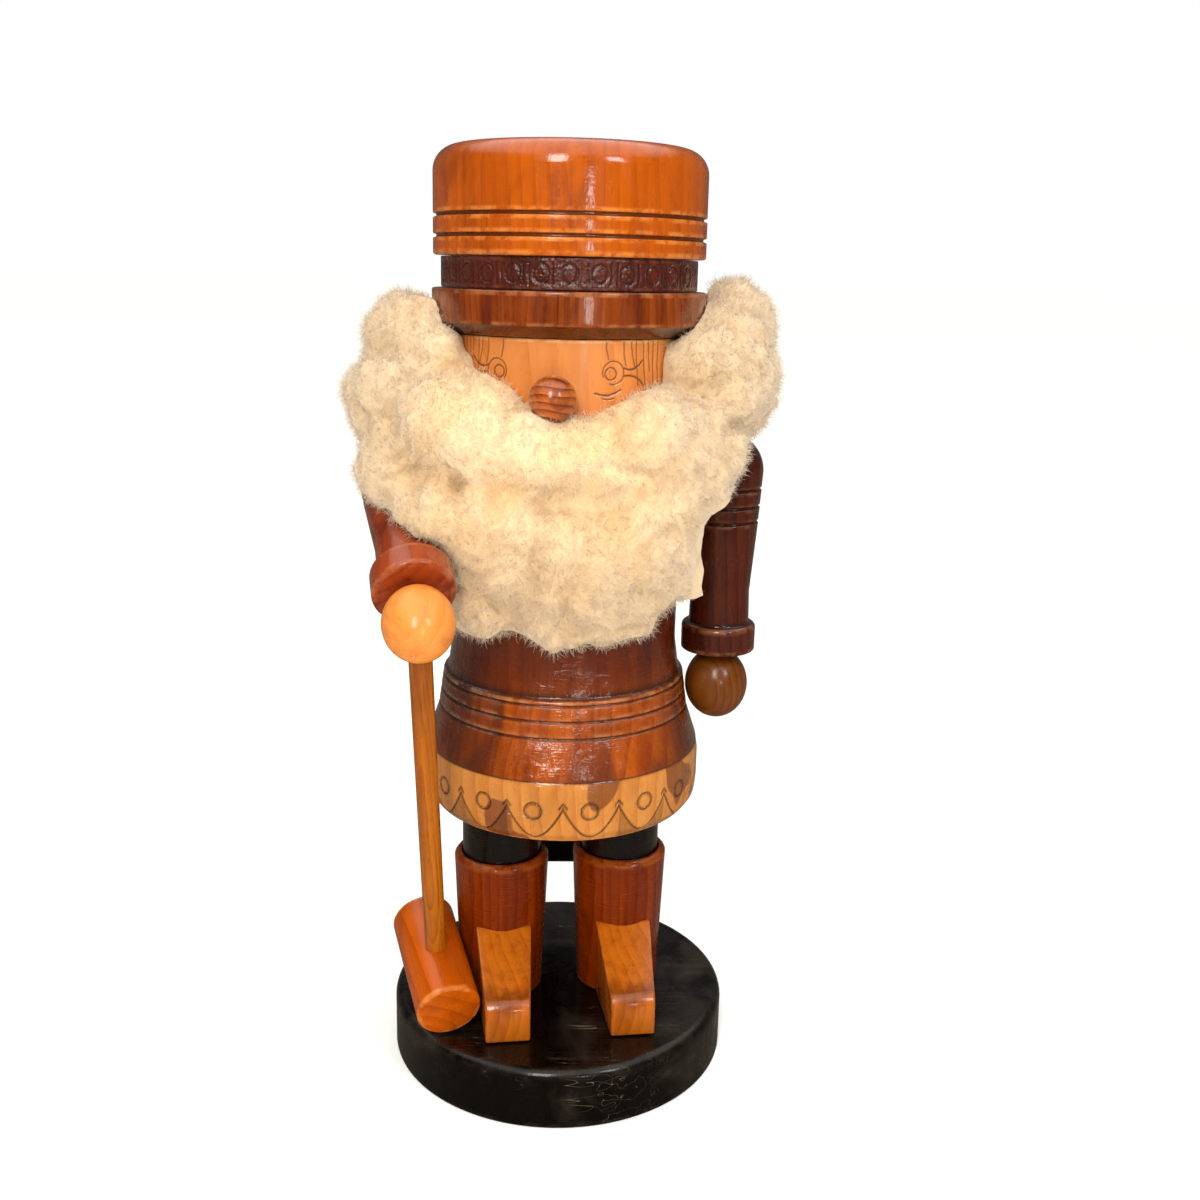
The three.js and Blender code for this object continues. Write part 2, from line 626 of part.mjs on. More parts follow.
function arm(spec) {
  const outline = new THREE.Path();
  outline.moveTo(0, -ARM_LENGTH);
  outline.lineTo(CUFF_RADIUS - 0.8, -ARM_LENGTH);
  outline.lineTo(CUFF_RADIUS, -ARM_LENGTH + 0.8);
  outline.lineTo(CUFF_RADIUS, -ARM_LENGTH + CUFF_HEIGHT - 1.5);
  outline.lineTo(CUFF_RADIUS - 1.5, -ARM_LENGTH + CUFF_HEIGHT);
  outline.lineTo(ARM_WRIST_RADIUS, -ARM_LENGTH + CUFF_HEIGHT + 0.5);
  outline.quadraticCurveTo(ARM_WRIST_RADIUS + 0.2, -32, ARM_SHOULDER_RADIUS - 1.2, -20);
  for (const below of [...ARM_GROOVES].reverse()) {
    groove(outline, ARM_SHOULDER_RADIUS - below / 17, -below);
  }
  outline.lineTo(ARM_SHOULDER_RADIUS, 0);
  outline.absarc(0, 0, ARM_SHOULDER_RADIUS, 0, Math.PI / 2);
  const body = turned(outline, MIDDLE_SIDES);
  const dowelHole = shoulderDowel(spec, SHOULDER_DOWEL_RADIUS + PEG_FIT, PEG_FIT);
  return cut(body, [dowelHole, wristDowel(WRIST_DOWEL_RADIUS + PEG_FIT, PEG_FIT)]);
}

function hand(holes) {
  const ball = new THREE.SphereGeometry(1, MIDDLE_SIDES, 12);
  ball.rotateX(Math.PI / 2);
  ball.scale(HAND_RADIUS, HAND_RADIUS, HAND_HALF_LENGTH);
  ball.translate(0, 0, -handBelowShoulder);
  return cut(ball, [wristDowel(WRIST_DOWEL_RADIUS + PEG_FIT, PEG_FIT), ...holes]);
}

// ---------------------------------------------------------------- mallet

// The mallet hangs from the hand along its own -Z, with its striking face towards its own -Y.
// It stands beside the right boot, where the front edge of its head rests on the base. How
// high the head's middle then is depends on its tilt, and the tilt on where the handle leads.
function malletGroup(handCentre) {
  const boot = new THREE.Vector3(-LEG_SPACING / 2, 0, 0);
  boot.applyAxisAngle(new THREE.Vector3(0, 0, 1), rad(STANCE_HEADING));
  const footX = boot.x - BOOT_TOP_RADIUS - MALLET_ASIDE;
  const foot = new THREE.Vector3(footX, boot.y - MALLET_AHEAD, BASE_HEIGHT);
  const up = new THREE.Vector3();
  const front = new THREE.Vector3();
  for (let round = 0; round < 12; round += 1) {
    up.subVectors(handCentre, foot).normalize();
    front.set(Math.sin(rad(MALLET_HEADING)), -Math.cos(rad(MALLET_HEADING)), 0);
    front.addScaledVector(up, -front.dot(up)).normalize();
    const edge = MALLET_RADIUS * Math.sqrt(1 - front.z ** 2) - MALLET_FACE_TO_HANDLE * front.z;
    foot.z = BASE_HEIGHT + GLUE_LINE + edge;
  }
  const back = front.clone().negate();
  const side = new THREE.Vector3().crossVectors(back, up);
  const group = new THREE.Group();
  group.applyMatrix4(new THREE.Matrix4().makeBasis(side, back, up));
  group.position.copy(handCentre);
  group.updateMatrixWorld(true);
  return { group, drop: handCentre.distanceTo(foot) };
}

function malletHandle(drop) {
  const lowerEnd = -drop + MALLET_RADIUS - HANDLE_IN_HEAD;
  return bar(HANDLE_RADIUS, lowerEnd, -HANDLE_SHORT_OF_HAND_CENTRE);
}

function handleHole(from, to) {
  return bar(HANDLE_RADIUS + PEG_FIT, from, to);
}

function malletHead(drop) {
  const front = MALLET_FACE_TO_HANDLE;
  const back = MALLET_FACE_TO_HANDLE - MALLET_LENGTH;
  const outline = new THREE.Path();
  outline.moveTo(0, back);
  outline.lineTo(MALLET_RADIUS - MALLET_CHAMFER, back);
  outline.lineTo(MALLET_RADIUS, back + MALLET_CHAMFER);
  outline.lineTo(MALLET_RADIUS, front - MALLET_CHAMFER);
  outline.lineTo(MALLET_RADIUS - MALLET_CHAMFER, front);
  outline.lineTo(0, front);
  const body = turned(outline, MIDDLE_SIDES);
  body.rotateX(Math.PI / 2);
  body.translate(0, 0, -drop);
  const floor = -drop + MALLET_RADIUS - HANDLE_IN_HEAD - GLUE_LINE;
  return cut(body, [handleHole(floor, -drop + PAST_SURFACE)]);
}

// ---------------------------------------------------------------- fleece beard

function tuft({ round, out, above, size }, woodRadius, side = 1) {
  const ball = new THREE.SphereGeometry(1, BEARD_SIDES, BEARD_ROWS);
  ball.rotateX(Math.PI / 2);
  ball.scale(...size);
  const reach = woodRadius + out;
  ball.translate(side * reach * Math.sin(rad(round)), -reach * Math.cos(rad(round)), coatTop + above);
  return ball;
}

// The wood that the fleece lies against, grown by the fleece's own gap. A head wider than
// the shoulders holds the fleece that far off the coat.
function beardBacking() {
  const outline = new THREE.Path();
  const coatRadius = Math.max(SHOULDER_RADIUS, HEAD_RADIUS) + FLEECE_GAP;
  outline.moveTo(0, coatBottom);
  outline.lineTo(coatRadius, coatBottom);
  outline.lineTo(coatRadius, coatTop + FLEECE_GAP);
  outline.lineTo(HEAD_RADIUS + FLEECE_GAP, coatTop + FLEECE_GAP);
  outline.lineTo(HEAD_RADIUS + FLEECE_GAP, brimBottom - 2 * FLEECE_GAP);
  outline.lineTo(brimRadius + FLEECE_GAP, brimBottom + FLEECE_GAP);
  outline.lineTo(brimRadius + FLEECE_GAP, crownTop);
  outline.lineTo(0, crownTop);
  return turned(outline, LARGE_SIDES);
}

// The space around a shoulder dowel where it crosses from the coat to the arm.
function dowelRoom(spec, group) {
  const room = shoulderDowel(spec, SHOULDER_DOWEL_RADIUS + FLEECE_GAP, 0);
  room.applyMatrix4(group.matrixWorld);
  return room;
}

// The space an arm turns in: everything outside its inner side, up to its shoulder.
function armRoom(spec, group) {
  const width = 2 * HEM_RADIUS;
  const depth = 4 * HEM_RADIUS;
  const height = COAT_HEIGHT;
  const room = new THREE.BoxGeometry(width, depth, height);
  const innerSide = ARM_SHOULDER_RADIUS + FLEECE_GAP;
  const top = ARM_SHOULDER_RADIUS + FLEECE_GAP;
  room.translate(spec.side * (width / 2 - innerSide), 0, top - height / 2);
  room.rotateZ(rad(spec.heading));
  room.translate(group.position.x, group.position.y, group.position.z);
  return room;
}

function beard(armSpaces) {
  const wool = joined([
    tuft(BEARD_CHEST, SHOULDER_RADIUS),
    tuft(BEARD_CHIN, SHOULDER_RADIUS),
    tuft(BEARD_JOWL, HEAD_RADIUS, 1),
    tuft(BEARD_JOWL, HEAD_RADIUS, -1),
    tuft(BEARD_CHEEK, HEAD_RADIUS, 1),
    tuft(BEARD_CHEEK, HEAD_RADIUS, -1),
  ]);
  const window = new THREE.CylinderGeometry(1, 1, 4 * HEAD_RADIUS, MIDDLE_SIDES);
  window.scale(HEAD_RADIUS + FACE_WINDOW_MARGIN, 1, FACE_WINDOW_HALF_HEIGHT);
  window.translate(0, -2 * HEAD_RADIUS, headTop + FACE_WINDOW_ABOVE);
  window.rotateZ(rad(HEAD_TURN));
  const noseRoom = new THREE.SphereGeometry(NOSE_RADIUS + FLEECE_GAP, MIDDLE_SIDES, 12);
  noseRoom.translate(0, -noseOut, headBottom + NOSE_ABOVE);
  noseRoom.rotateZ(rad(HEAD_TURN));
  const lipSweep = Math.hypot(JAW_REACH + pivot.y, coatTop - pivot.z) - pivot.y;
  const jawReach = lipSweep + FLEECE_GAP;
  const jawRoom = new THREE.BoxGeometry(
    LEVER_WIDTH + 4 * SLOT_FIT,
    jawReach,
    2 * (JAW_THICKNESS + JAW_REACH * Math.tan(rad(JAW_OPENING))),
  );
  jawRoom.translate(0, -jawReach / 2, coatTop - JAW_THICKNESS);
  return cut(wool, [beardBacking(), window, noseRoom, jawRoom, ...armSpaces]);
}

// ---------------------------------------------------------------- assembly

const figure = new THREE.Group();

const stand = new THREE.Group();
stand.rotation.z = rad(STANCE_HEADING);
figure.add(stand);
addPiece(stand, 'base_disc', baseDisc(), lacquered(0x120e0c));
for (const [side, label] of [[1, 'left'], [-1, 'right']]) {
  const place = side * LEG_SPACING / 2;
  addPiece(stand, `base_screw_${label}`, baseScrew(), steel()).position.x = place;
  addPiece(stand, `boot_${label}`, boot(), lacquered(0x8c3210)).position.x = place;
  addPiece(stand, `foot_${label}`, foot(), lacquered(0xc46418)).position.x = place;
  addPiece(stand, `leg_${label}`, leg(), lacquered(0x0e0b0a)).position.x = place;
}

const arms = {};
for (const [label, spec] of [['left', LEFT_ARM], ['right', RIGHT_ARM]]) {
  const group = armGroup(spec);
  const hole = shoulderDowel(spec, SHOULDER_DOWEL_RADIUS + PEG_FIT, PEG_FIT);
  hole.applyMatrix4(group.matrixWorld);
  arms[label] = { spec, group, hole };
  figure.add(group);
  const dowel = shoulderDowel(spec, SHOULDER_DOWEL_RADIUS, 0);
  addPiece(group, `shoulder_dowel_${label}`, dowel, bareWood(0xc59a62));
  addPiece(group, `arm_${label}`, arm(spec), lacquered(0x4a160a));
  addPiece(group, `wrist_dowel_${label}`, wristDowel(WRIST_DOWEL_RADIUS, 0), bareWood(0xc59a62));
}

const rightHandCentre = new THREE.Vector3(0, 0, -handBelowShoulder);
rightHandCentre.applyMatrix4(arms.right.group.matrixWorld);
const { group: mallet, drop } = malletGroup(rightHandCentre);
figure.add(mallet);
addPiece(mallet, 'mallet_handle', malletHandle(drop), lacquered(0xb9741a));
addPiece(mallet, 'mallet_head', malletHead(drop), lacquered(0xc45a10));

const gripHole = handleHole(-2 * HAND_HALF_LENGTH, -HANDLE_SHORT_OF_HAND_CENTRE + PEG_FIT);
gripHole.applyMatrix4(mallet.matrixWorld);
gripHole.applyMatrix4(arms.right.group.matrixWorld.clone().invert());
addPiece(arms.left.group, 'hand_left', hand([]), lacquered(0x8a5520));
addPiece(arms.right.group, 'hand_right', hand([gripHole]), lacquered(0xe58c3c));

addPiece(figure, 'coat', coat([arms.left.hole, arms.right.hole]), lacquered(0x6e2408));
addPiece(figure, 'jaw_lever', jawLever(), lacquered(0x0e0b0a));
const pinRight = Math.sqrt(SHOULDER_RADIUS ** 2 - pivot.y ** 2) - 1;
addPiece(figure, 'lever_pin', pinAt(PIN_RADIUS, -pinRight, pinEnd), steel());
const neck = neckDowels(NECK_DOWEL_RADIUS, coatTop - NECK_DOWEL_BITE, headBottom + NECK_DOWEL_BITE);
addPiece(figure, 'neck_dowel_right', neck[0], bareWood(0xc59a62));
addPiece(figure, 'neck_dowel_left', neck[1], bareWood(0xc59a62));

const top = new THREE.Group();
top.rotation.z = rad(HEAD_TURN);
figure.add(top);
addPiece(top, 'head', head(), lacquered(0xe5944a));
addPiece(top, 'nose', nose(), lacquered(0x5c2412));
addPiece(top, 'hat_brim', hatBrim(), lacquered(0x7a300c));
addPiece(top, 'hat_band', hatBand(), lacquered(0x38160e));
addPiece(top, 'hat_crown', hatCrown(), lacquered(0xbe5808));
const hatDowel = bar(HAT_DOWEL_RADIUS, headTop - HAT_DOWEL_BITE, crownBottom + HAT_DOWEL_BITE);
addPiece(top, 'hat_dowel', hatDowel, bareWood(0xc59a62));

const fleece = new THREE.MeshStandardMaterial({ color: 0xe9dcc0, roughness: 1, metalness: 0 });
const armSpaces = Object.values(arms).flatMap(({ spec, group }) => [
  armRoom(spec, group),
  dowelRoom(spec, group),
]);
addPiece(figure, 'beard', beard(armSpaces), fleece);

export default figure;
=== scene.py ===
import json
import math

import bmesh
import bpy
import numpy as np
from mathutils import Matrix, Vector, noise


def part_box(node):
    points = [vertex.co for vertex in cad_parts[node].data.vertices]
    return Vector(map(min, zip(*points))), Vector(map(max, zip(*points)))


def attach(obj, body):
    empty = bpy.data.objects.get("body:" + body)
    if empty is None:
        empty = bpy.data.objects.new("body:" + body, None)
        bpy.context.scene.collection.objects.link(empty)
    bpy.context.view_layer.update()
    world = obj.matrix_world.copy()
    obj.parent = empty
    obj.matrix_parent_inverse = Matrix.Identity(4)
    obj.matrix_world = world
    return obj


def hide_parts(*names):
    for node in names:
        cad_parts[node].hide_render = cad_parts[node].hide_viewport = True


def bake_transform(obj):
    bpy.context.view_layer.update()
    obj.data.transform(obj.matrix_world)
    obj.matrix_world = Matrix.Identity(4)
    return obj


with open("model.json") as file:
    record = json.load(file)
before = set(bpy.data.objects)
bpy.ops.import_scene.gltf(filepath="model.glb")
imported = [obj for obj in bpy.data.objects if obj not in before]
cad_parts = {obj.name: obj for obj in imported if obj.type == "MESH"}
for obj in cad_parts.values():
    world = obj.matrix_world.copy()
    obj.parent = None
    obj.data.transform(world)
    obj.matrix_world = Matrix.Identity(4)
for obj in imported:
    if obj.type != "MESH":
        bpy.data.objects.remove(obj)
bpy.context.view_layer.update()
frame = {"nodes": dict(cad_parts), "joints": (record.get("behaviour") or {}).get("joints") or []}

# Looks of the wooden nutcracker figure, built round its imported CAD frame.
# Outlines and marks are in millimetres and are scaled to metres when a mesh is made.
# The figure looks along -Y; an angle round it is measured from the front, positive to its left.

MM = 0.001
JOINTS = {joint["name"]: joint for joint in frame["joints"]}
UP = np.array([0.0, 0.0, 1.0])

# Sizes that more than one piece takes, in millimetres
HEAD_TURN = math.radians(-6.5)
HEAD_RADIUS = 38.0
SHOULDER_RADIUS = 40.4
HEM_RADIUS = 48.0
HEM_HEIGHT = 20.9
LEDGE_HEIGHT = 46.2
SCALLOPS = 16
SKIRT_GROOVES = (34.2, 39.8, 45.0)
GROOVE_WIDTH = 1.4
GROOVE_DEPTH = 0.9
RINGS_ROUND_HAT = 29
HAT_SKIN = 0.1
BRIM_CHAMFER = 5.6
BRIM_CHAMFER_HEIGHT = 3.6
JAW_THICKNESS = 14.0
TAIL_THICKNESS = 11.0
ARM_RADIUS = 13.2
ARM_LENGTH = 63.2
CUFF_RADIUS = 12.9
HAND_RADIUS = 11.0
HAND_HALF_LENGTH = 12.5


def span(node):
    """Lowest and highest corner of a CAD node, in millimetres."""
    low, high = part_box(node)
    return np.array(low) / MM, np.array(high) / MM


def middle(node):
    low, high = span(node)
    return (low + high) / 2


def pivot_of(joint):
    """A joint's place, in millimetres."""
    return np.array(JOINTS[joint]["pos_m"]) / MM


def unit(vector):
    return vector / np.linalg.norm(vector)


def odd_number(cell, seed):
    """A number from -0.5 to 0.5 that differs from one cell of a pattern to the next."""
    value = np.sin(cell * seed) * 43758.5453
    return value - np.floor(value) - 0.5


# ---------------------------------------------------------------- camera, lights and floor


def make_camera():
    """A camera a little above the head, at the photograph's angle."""
    height, distance, aside = 0.2784, 0.4355, -0.0049
    pitch, yaw, roll = math.radians(12.69), math.radians(2.23), math.radians(-1.24)
    data = bpy.data.cameras.new("camera")
    data.sensor_width = 36
    data.lens = 38.62
    data.shift_y = -0.0333
    data.clip_start = 0.01
    camera = bpy.data.objects.new("camera", data)
    turn = Matrix.Rotation(-yaw, 4, "Z") @ Matrix.Rotation(math.pi / 2 - pitch, 4, "X")
    turn = turn @ Matrix.Rotation(-roll, 4, "Z")
    camera.matrix_world = Matrix.Translation((aside, -distance, height)) @ turn
    bpy.context.scene.collection.objects.link(camera)
    bpy.context.scene.camera = camera


def area_light(name, place, aim, size, power, colour):
    data = bpy.data.lights.new(name, "AREA")
    data.shape = "RECTANGLE"
    data.size, data.size_y = size
    data.energy = power
    data.color = colour
    light = bpy.data.objects.new(name, data)
    direction = Vector(aim) - Vector(place)
    turn = direction.to_track_quat("-Z", "Y").to_matrix().to_4x4()
    light.matrix_world = Matrix.Translation(place) @ turn
    bpy.context.scene.collection.objects.link(light)


def make_studio():
    """Soft boxes in front, a bright sky overhead and a white floor that stays dark in reflections."""
    aim = (0, 0, 0.15)
    area_light("key", (-0.22, -1.05, 0.80), aim, (0.26, 0.55), 9, (1.0, 0.95, 0.88))
    area_light("window", (0.62, -0.85, 0.80), aim, (0.22, 0.34), 4, (0.86, 0.92, 1.0))
    area_light("lamp", (0.30, -1.15, 0.28), aim, (0.05, 0.22), 0.9, (1.0, 0.95, 0.88))
    world = bpy.data.worlds.new("studio")
    world.use_nodes = True
    tree = world.node_tree
    seen = put(tree, "Background", {"Color": (1, 1, 1, 1), "Strength": 1.0})
    heading = put(tree, "SeparateXYZ", {0: put(tree, "TexCoord").outputs["Generated"]}).outputs["Z"]
    overhead = between(tree, heading, 0.55, 0.8, 0.10, 1.9)
    fill = put(tree, "Background", {"Color": (1, 0.97, 0.93, 1), "Strength": overhead})
    path = put(tree, "LightPath")
    either = put(tree, "MixShader", {0: path.outputs["Is Camera Ray"], 1: fill.outputs[0],
                                     2: seen.outputs[0]})
    output = next(n for n in tree.nodes if n.type == "OUTPUT_WORLD")
    tree.links.new(either.outputs[0], output.inputs["Surface"])
    bpy.context.scene.world = world
    bpy.context.scene.view_settings.view_transform = "Standard"

    reach = 30.0
    corners = [(-reach, -reach, 0), (reach, -reach, 0), (reach, reach, 0), (-reach, reach, 0)]
    mesh = bpy.data.meshes.new("floor")
    mesh.from_pydata(corners, [], [(0, 1, 2, 3)])
    floor = bpy.data.objects.new("floor", mesh)
    bpy.context.scene.collection.objects.link(floor)
    material, tree, surface = new_material("floor_pale")
    mirrored = put(tree, "LightPath").outputs["Is Glossy Ray"]
    tree.links.new(mixed(tree, mirrored, (0.93, 0.93, 0.92, 1), (0.14, 0.12, 0.10, 1)),
                   surface.inputs["Base Color"])
    tree.links.new(mixed(tree, mirrored, (1, 1, 1, 1), (0, 0, 0, 1)), surface.inputs["Emission Color"])
    tune(surface, {"Emission Strength": 0.1, "Roughness": 0.9, "Specular IOR Level": 0.1})
    mesh.materials.append(material)


# ---------------------------------------------------------------- shader helpers


def srgb(red, green, blue):
    """Linear colour of a screen colour given as 0 to 255."""
    return tuple((c / 255) ** 2.2 for c in (red, green, blue)) + (1.0,)


def put(tree, kind, inputs=None, **settings):
    """Adds a node, with each input either a value or the output that feeds it."""
    made = tree.nodes.new("ShaderNode" + kind)
    for key, value in settings.items():
        setattr(made, key, value)
    for key, value in (inputs or {}).items():
        if isinstance(value, bpy.types.NodeSocket):
            tree.links.new(value, made.inputs[key])
        else:
            made.inputs[key].default_value = value
    return made


def new_material(name):
    material = bpy.data.materials.new(name)
    material.use_nodes = True
    tree = material.node_tree
    surface = next(n for n in tree.nodes if n.type == "BSDF_PRINCIPLED")
    return material, tree, surface


def tune(shader, values):
    """Sets constants on a shader's own sockets."""
    for name, value in values.items():
        shader.inputs[name].default_value = value


def calc(tree, operation, first, second=0.0, clamp=False):
    node = put(tree, "Math", {0: first, 1: second}, operation=operation, use_clamp=clamp)
    return node.outputs[0]


def mixed(tree, share, first, second, mode="MIX"):
    node = put(tree, "Mix", {0: share, 6: first, 7: second}, data_type="RGBA", blend_type=mode)
    return node.outputs[2]


def between(tree, value, low, high, to_low=0.0, to_high=1.0):
    """Maps low..high to to_low..to_high, smoothly and clamped."""
    inputs = {0: value, 1: low, 2: high, 3: to_low, 4: to_high}
    return put(tree, "MapRange", inputs, interpolation_type="SMOOTHSTEP").outputs[0]


def attribute(tree, name):
    return put(tree, "Attribute", attribute_name=name).outputs["Fac"]


def spotted(tree, vector, size, detail=2.0, rough=0.5, bend=0.0):
    """Noise whose features are about size millimetres across."""
    inputs = {"Vector": vector, "Scale": 1 / size, "Detail": detail, "Roughness": rough, "Distortion": bend}
    return put(tree, "TexNoise", inputs).outputs["Fac"]


def space(tree, stretch=(1, 1, 1), turn=(0, 0, 0), shift=(0, 0, 0)):
    """The piece's own coordinates in millimetres, stretched along its axes."""
    coordinates = put(tree, "TexCoord").outputs["Object"]
    scale = tuple(s / MM for s in stretch)
    inputs = {"Vector": coordinates, "Rotation": turn, "Scale": scale, "Location": shift}
    return put(tree, "Mapping", inputs).outputs[0]


def figured(tree, light, dark, streak, growth=4.0, heart=(26, 14), turn=(0, 0, 0), seed=0.0,
            streaks=0.5, mottle=0.3, figure=0.7):
    """Colour and height of wood whose grain runs along Z: growth rings round a heart beside the
    piece, thin fibre streaks, pores and soft blotches where the stain took unevenly."""
    lean = (turn[0] + 0.07, turn[1] + 0.05, turn[2])
    whole = space(tree, turn=lean, shift=(heart[0] + seed, heart[1], seed))
    wander = put(tree, "TexNoise", {"Vector": space(tree, (0.02, 0.02, 0.006), turn, (seed, seed, seed)),
                                    "Scale": 1.0, "Detail": 2.0})
    pushed = put(tree, "VectorMath", {0: wander.outputs["Color"], "Scale": 22.0}, operation="SCALE")
    bent = put(tree, "VectorMath", {0: whole, 1: pushed.outputs[0]}, operation="ADD").outputs[0]
    rings = put(tree, "TexWave", {"Vector": bent, "Scale": 0.314 / growth, "Distortion": 1.2, "Detail": 2.0,
                                  "Detail Scale": 0.35}, wave_type="RINGS", rings_direction="Z",
                wave_profile="SAW").outputs["Fac"]
    latewood = calc(tree, "POWER", rings, 2.2)
    fibre = spotted(tree, space(tree, (1.0, 1.0, 0.035), turn, (seed, 0, 0)), 0.9, 4.0, 0.65)
    broad = spotted(tree, space(tree, (1.0, 1.0, 0.05), turn, (0, seed, 0)), 6.0, 2.0)
    pores = spotted(tree, space(tree, (1.0, 1.0, 0.09), turn, (0, 0, seed)), 0.45, 1.0)
    blotch = spotted(tree, space(tree, (1, 1, 0.6), turn, (seed, seed, 0)), 16.0, 3.0, 0.55, 0.8)
    colour = mixed(tree, calc(tree, "MULTIPLY", latewood, figure, True), light, dark)
    colour = mixed(tree, between(tree, broad, 0.42, 0.68, 0, streaks), colour, dark)
    colour = mixed(tree, between(tree, fibre, 0.5, 0.78, 0, streaks), colour, streak)
    colour = mixed(tree, between(tree, pores, 0.68, 0.8, 0, 0.55), colour, streak)
    colour = mixed(tree, between(tree, blotch, 0.5, 0.72, 0, mottle), colour, streak)
    colour = mixed(tree, between(tree, blotch, 0.5, 0.28, 0, mottle), colour, light)
    height = calc(tree, "ADD", calc(tree, "MULTIPLY", fibre, 0.6), calc(tree, "MULTIPLY", latewood, 0.25))
    height = calc(tree, "SUBTRACT", height, between(tree, pores, 0.66, 0.8, 0, 0.5))
    return colour, height


def finished(tree, surface, colour, height, gloss=0.3, lacquer=0.8, lacquer_gloss=0.09, relief=0.035,
             orange_peel=0.03, worn=None, burnt=(0.018, 0.008, 0.004, 1), wear=0.5, specular=0.2, lathe=0.0):
    """Lacquer over a wood: worn edges, a darker colour in the hollows, burned marks, brush lumps in the
    film, and the fine marks a lathe leaves round the piece."""
    edge = attribute(tree, "edge")
    patchy = spotted(tree, space(tree), 5.0, 4.0, 0.6)
    rub = calc(tree, "MULTIPLY", between(tree, edge, 0.12, 0.75), between(tree, patchy, 0.38, 0.62, 0, wear))
    if worn is not None:
        colour = mixed(tree, rub, colour, worn)
    # Hollows, where the outline turns inwards, are darkened towards the burned colour.
    colour = mixed(tree, between(tree, edge, -0.1, -0.8, 0, 0.7), colour, burnt)
    colour = mixed(tree, calc(tree, "MULTIPLY", attribute(tree, "burn"), 0.92, True), colour, burnt)
    tree.links.new(colour, surface.inputs["Base Color"])
    smear = spotted(tree, space(tree, (1, 1, 0.5)), 11.0, 4.0, 0.6, 1.0)
    rough = calc(tree, "ADD", between(tree, smear, 0.35, 0.7, gloss - 0.06, gloss + 0.14),
                 calc(tree, "MULTIPLY", rub, 0.25))
    tree.links.new(rough, surface.inputs["Roughness"])
    film = spotted(tree, space(tree), 2.2, 3.0, 0.6)
    dust = spotted(tree, space(tree), 0.5, 1.0)
    specks = between(tree, dust, 0.72, 0.8, 0, 0.5)
    film = calc(tree, "ADD", film, specks)
    grain = put(tree, "Bump", {"Height": height, "Strength": 1.0, "Distance": relief * MM})
    skin = put(tree, "Bump", {"Height": film, "Strength": 1.0, "Distance": orange_peel * MM,
                              "Normal": grain.outputs[0]})
    if lathe:
        rounds = spotted(tree, space(tree, (0.1, 0.1, 1)), 0.7, 2.0)
        gate = between(tree, spotted(tree, space(tree), 9.0, 2.0), 0.4, 0.62)
        skin = put(tree, "Bump", {"Height": calc(tree, "MULTIPLY", rounds, gate), "Strength": 1.0,
                                  "Distance": lathe * MM, "Normal": skin.outputs[0]})
    tree.links.new(skin.outputs[0], surface.inputs["Normal"])
    tree.links.new(skin.outputs[0], surface.inputs["Coat Normal"])
    tune(surface, {"Coat Weight": lacquer, "Coat IOR": 1.4, "Coat Roughness": lacquer_gloss,
                   "Specular IOR Level": specular})


def wood(name, light, dark, streak, finish=None, **figure):
    """A lacquered wood of three screen colours."""
    material, tree, surface = new_material(name)
    colour, height = figured(tree, srgb(*light), srgb(*dark), srgb(*streak), **figure)
    finished(tree, surface, colour, height, **(finish or {}))
    return material


# ---------------------------------------------------------------- mesh helpers


def mesh_object(name, points, faces, place=None):
    """An object from points in millimetres, in its own frame, put at a matrix in metres."""
    mesh = bpy.data.meshes.new(name)
    mesh.from_pydata((np.asarray(points) * MM).tolist(), [], faces)
    mesh.polygons.foreach_set("use_smooth", np.ones(len(mesh.polygons), bool))
    mesh.update()
    made = bpy.data.objects.new(name, mesh)
    bpy.context.scene.collection.objects.link(made)
    if place is not None:
        made.matrix_world = place
    return made


def set_attribute(made, name, values):
    layer = made.data.attributes.new(name, "FLOAT", "POINT")
    layer.data.foreach_set("value", np.ascontiguousarray(values, dtype=np.float32))


def placed(origin, x_axis=(1, 0, 0), z_axis=(0, 0, 1)):
    """Matrix of a frame at an origin in millimetres with the given directions."""
    z = Vector(z_axis).normalized()
    x = Vector(x_axis)
    x = (x - z * x.dot(z)).normalized()
    turn = Matrix((x, z.cross(x), z)).transposed().to_4x4()
    return Matrix.Translation(Vector(origin) * MM) @ turn


def apply_modifiers(made):
    graph = bpy.context.evaluated_depsgraph_get()
    mesh = bpy.data.meshes.new_from_object(made.evaluated_get(graph), depsgraph=graph)
    made.modifiers.clear()
    made.data = mesh


def outline_of(corners, step=2.0):
    """Outline from (radius, height, rounding) corners: arcs at the corners, and points at least
    every step along it. step may be a function of height."""
    points = []
    last = len(corners) - 1
    for i, (r, z, rounding) in enumerate(corners):
        here = np.array([r, z])
        if rounding == 0 or i in (0, last):
            points.append(here)
            continue
        before = np.array(corners[i - 1][:2]) - here
        after = np.array(corners[i + 1][:2]) - here
        before, after = before / np.linalg.norm(before), after / np.linalg.norm(after)
        half = math.acos(np.clip(before @ after, -1, 1)) / 2
        away = rounding / math.tan(half)
        count = max(3, int(rounding * (math.pi - 2 * half) / 0.5))
        start, end = here + before * away, here + after * away
        middle_of_arc = here + (before + after) / np.linalg.norm(before + after) * rounding / math.sin(half)
        from_angle = math.atan2(*(start - middle_of_arc)[::-1])
        sweep = math.atan2(*(end - middle_of_arc)[::-1]) - from_angle
        sweep = (sweep + math.pi) % (2 * math.pi) - math.pi
        for k in range(count + 1):
            angle = from_angle + sweep * k / count
            points.append(middle_of_arc + rounding * np.array([math.cos(angle), math.sin(angle)]))
    fine = [points[0]]
    for end in points[1:]:
        start = fine[-1]
        length = np.linalg.norm(end - start)
        if length < 1e-6:
            continue
        spacing = step((start[1] + end[1]) / 2) if callable(step) else step
        count = max(1, math.ceil(length / spacing))
        fine += [start + (end - start) * k / count for k in range(1, count + 1)]
    return np.array(fine)


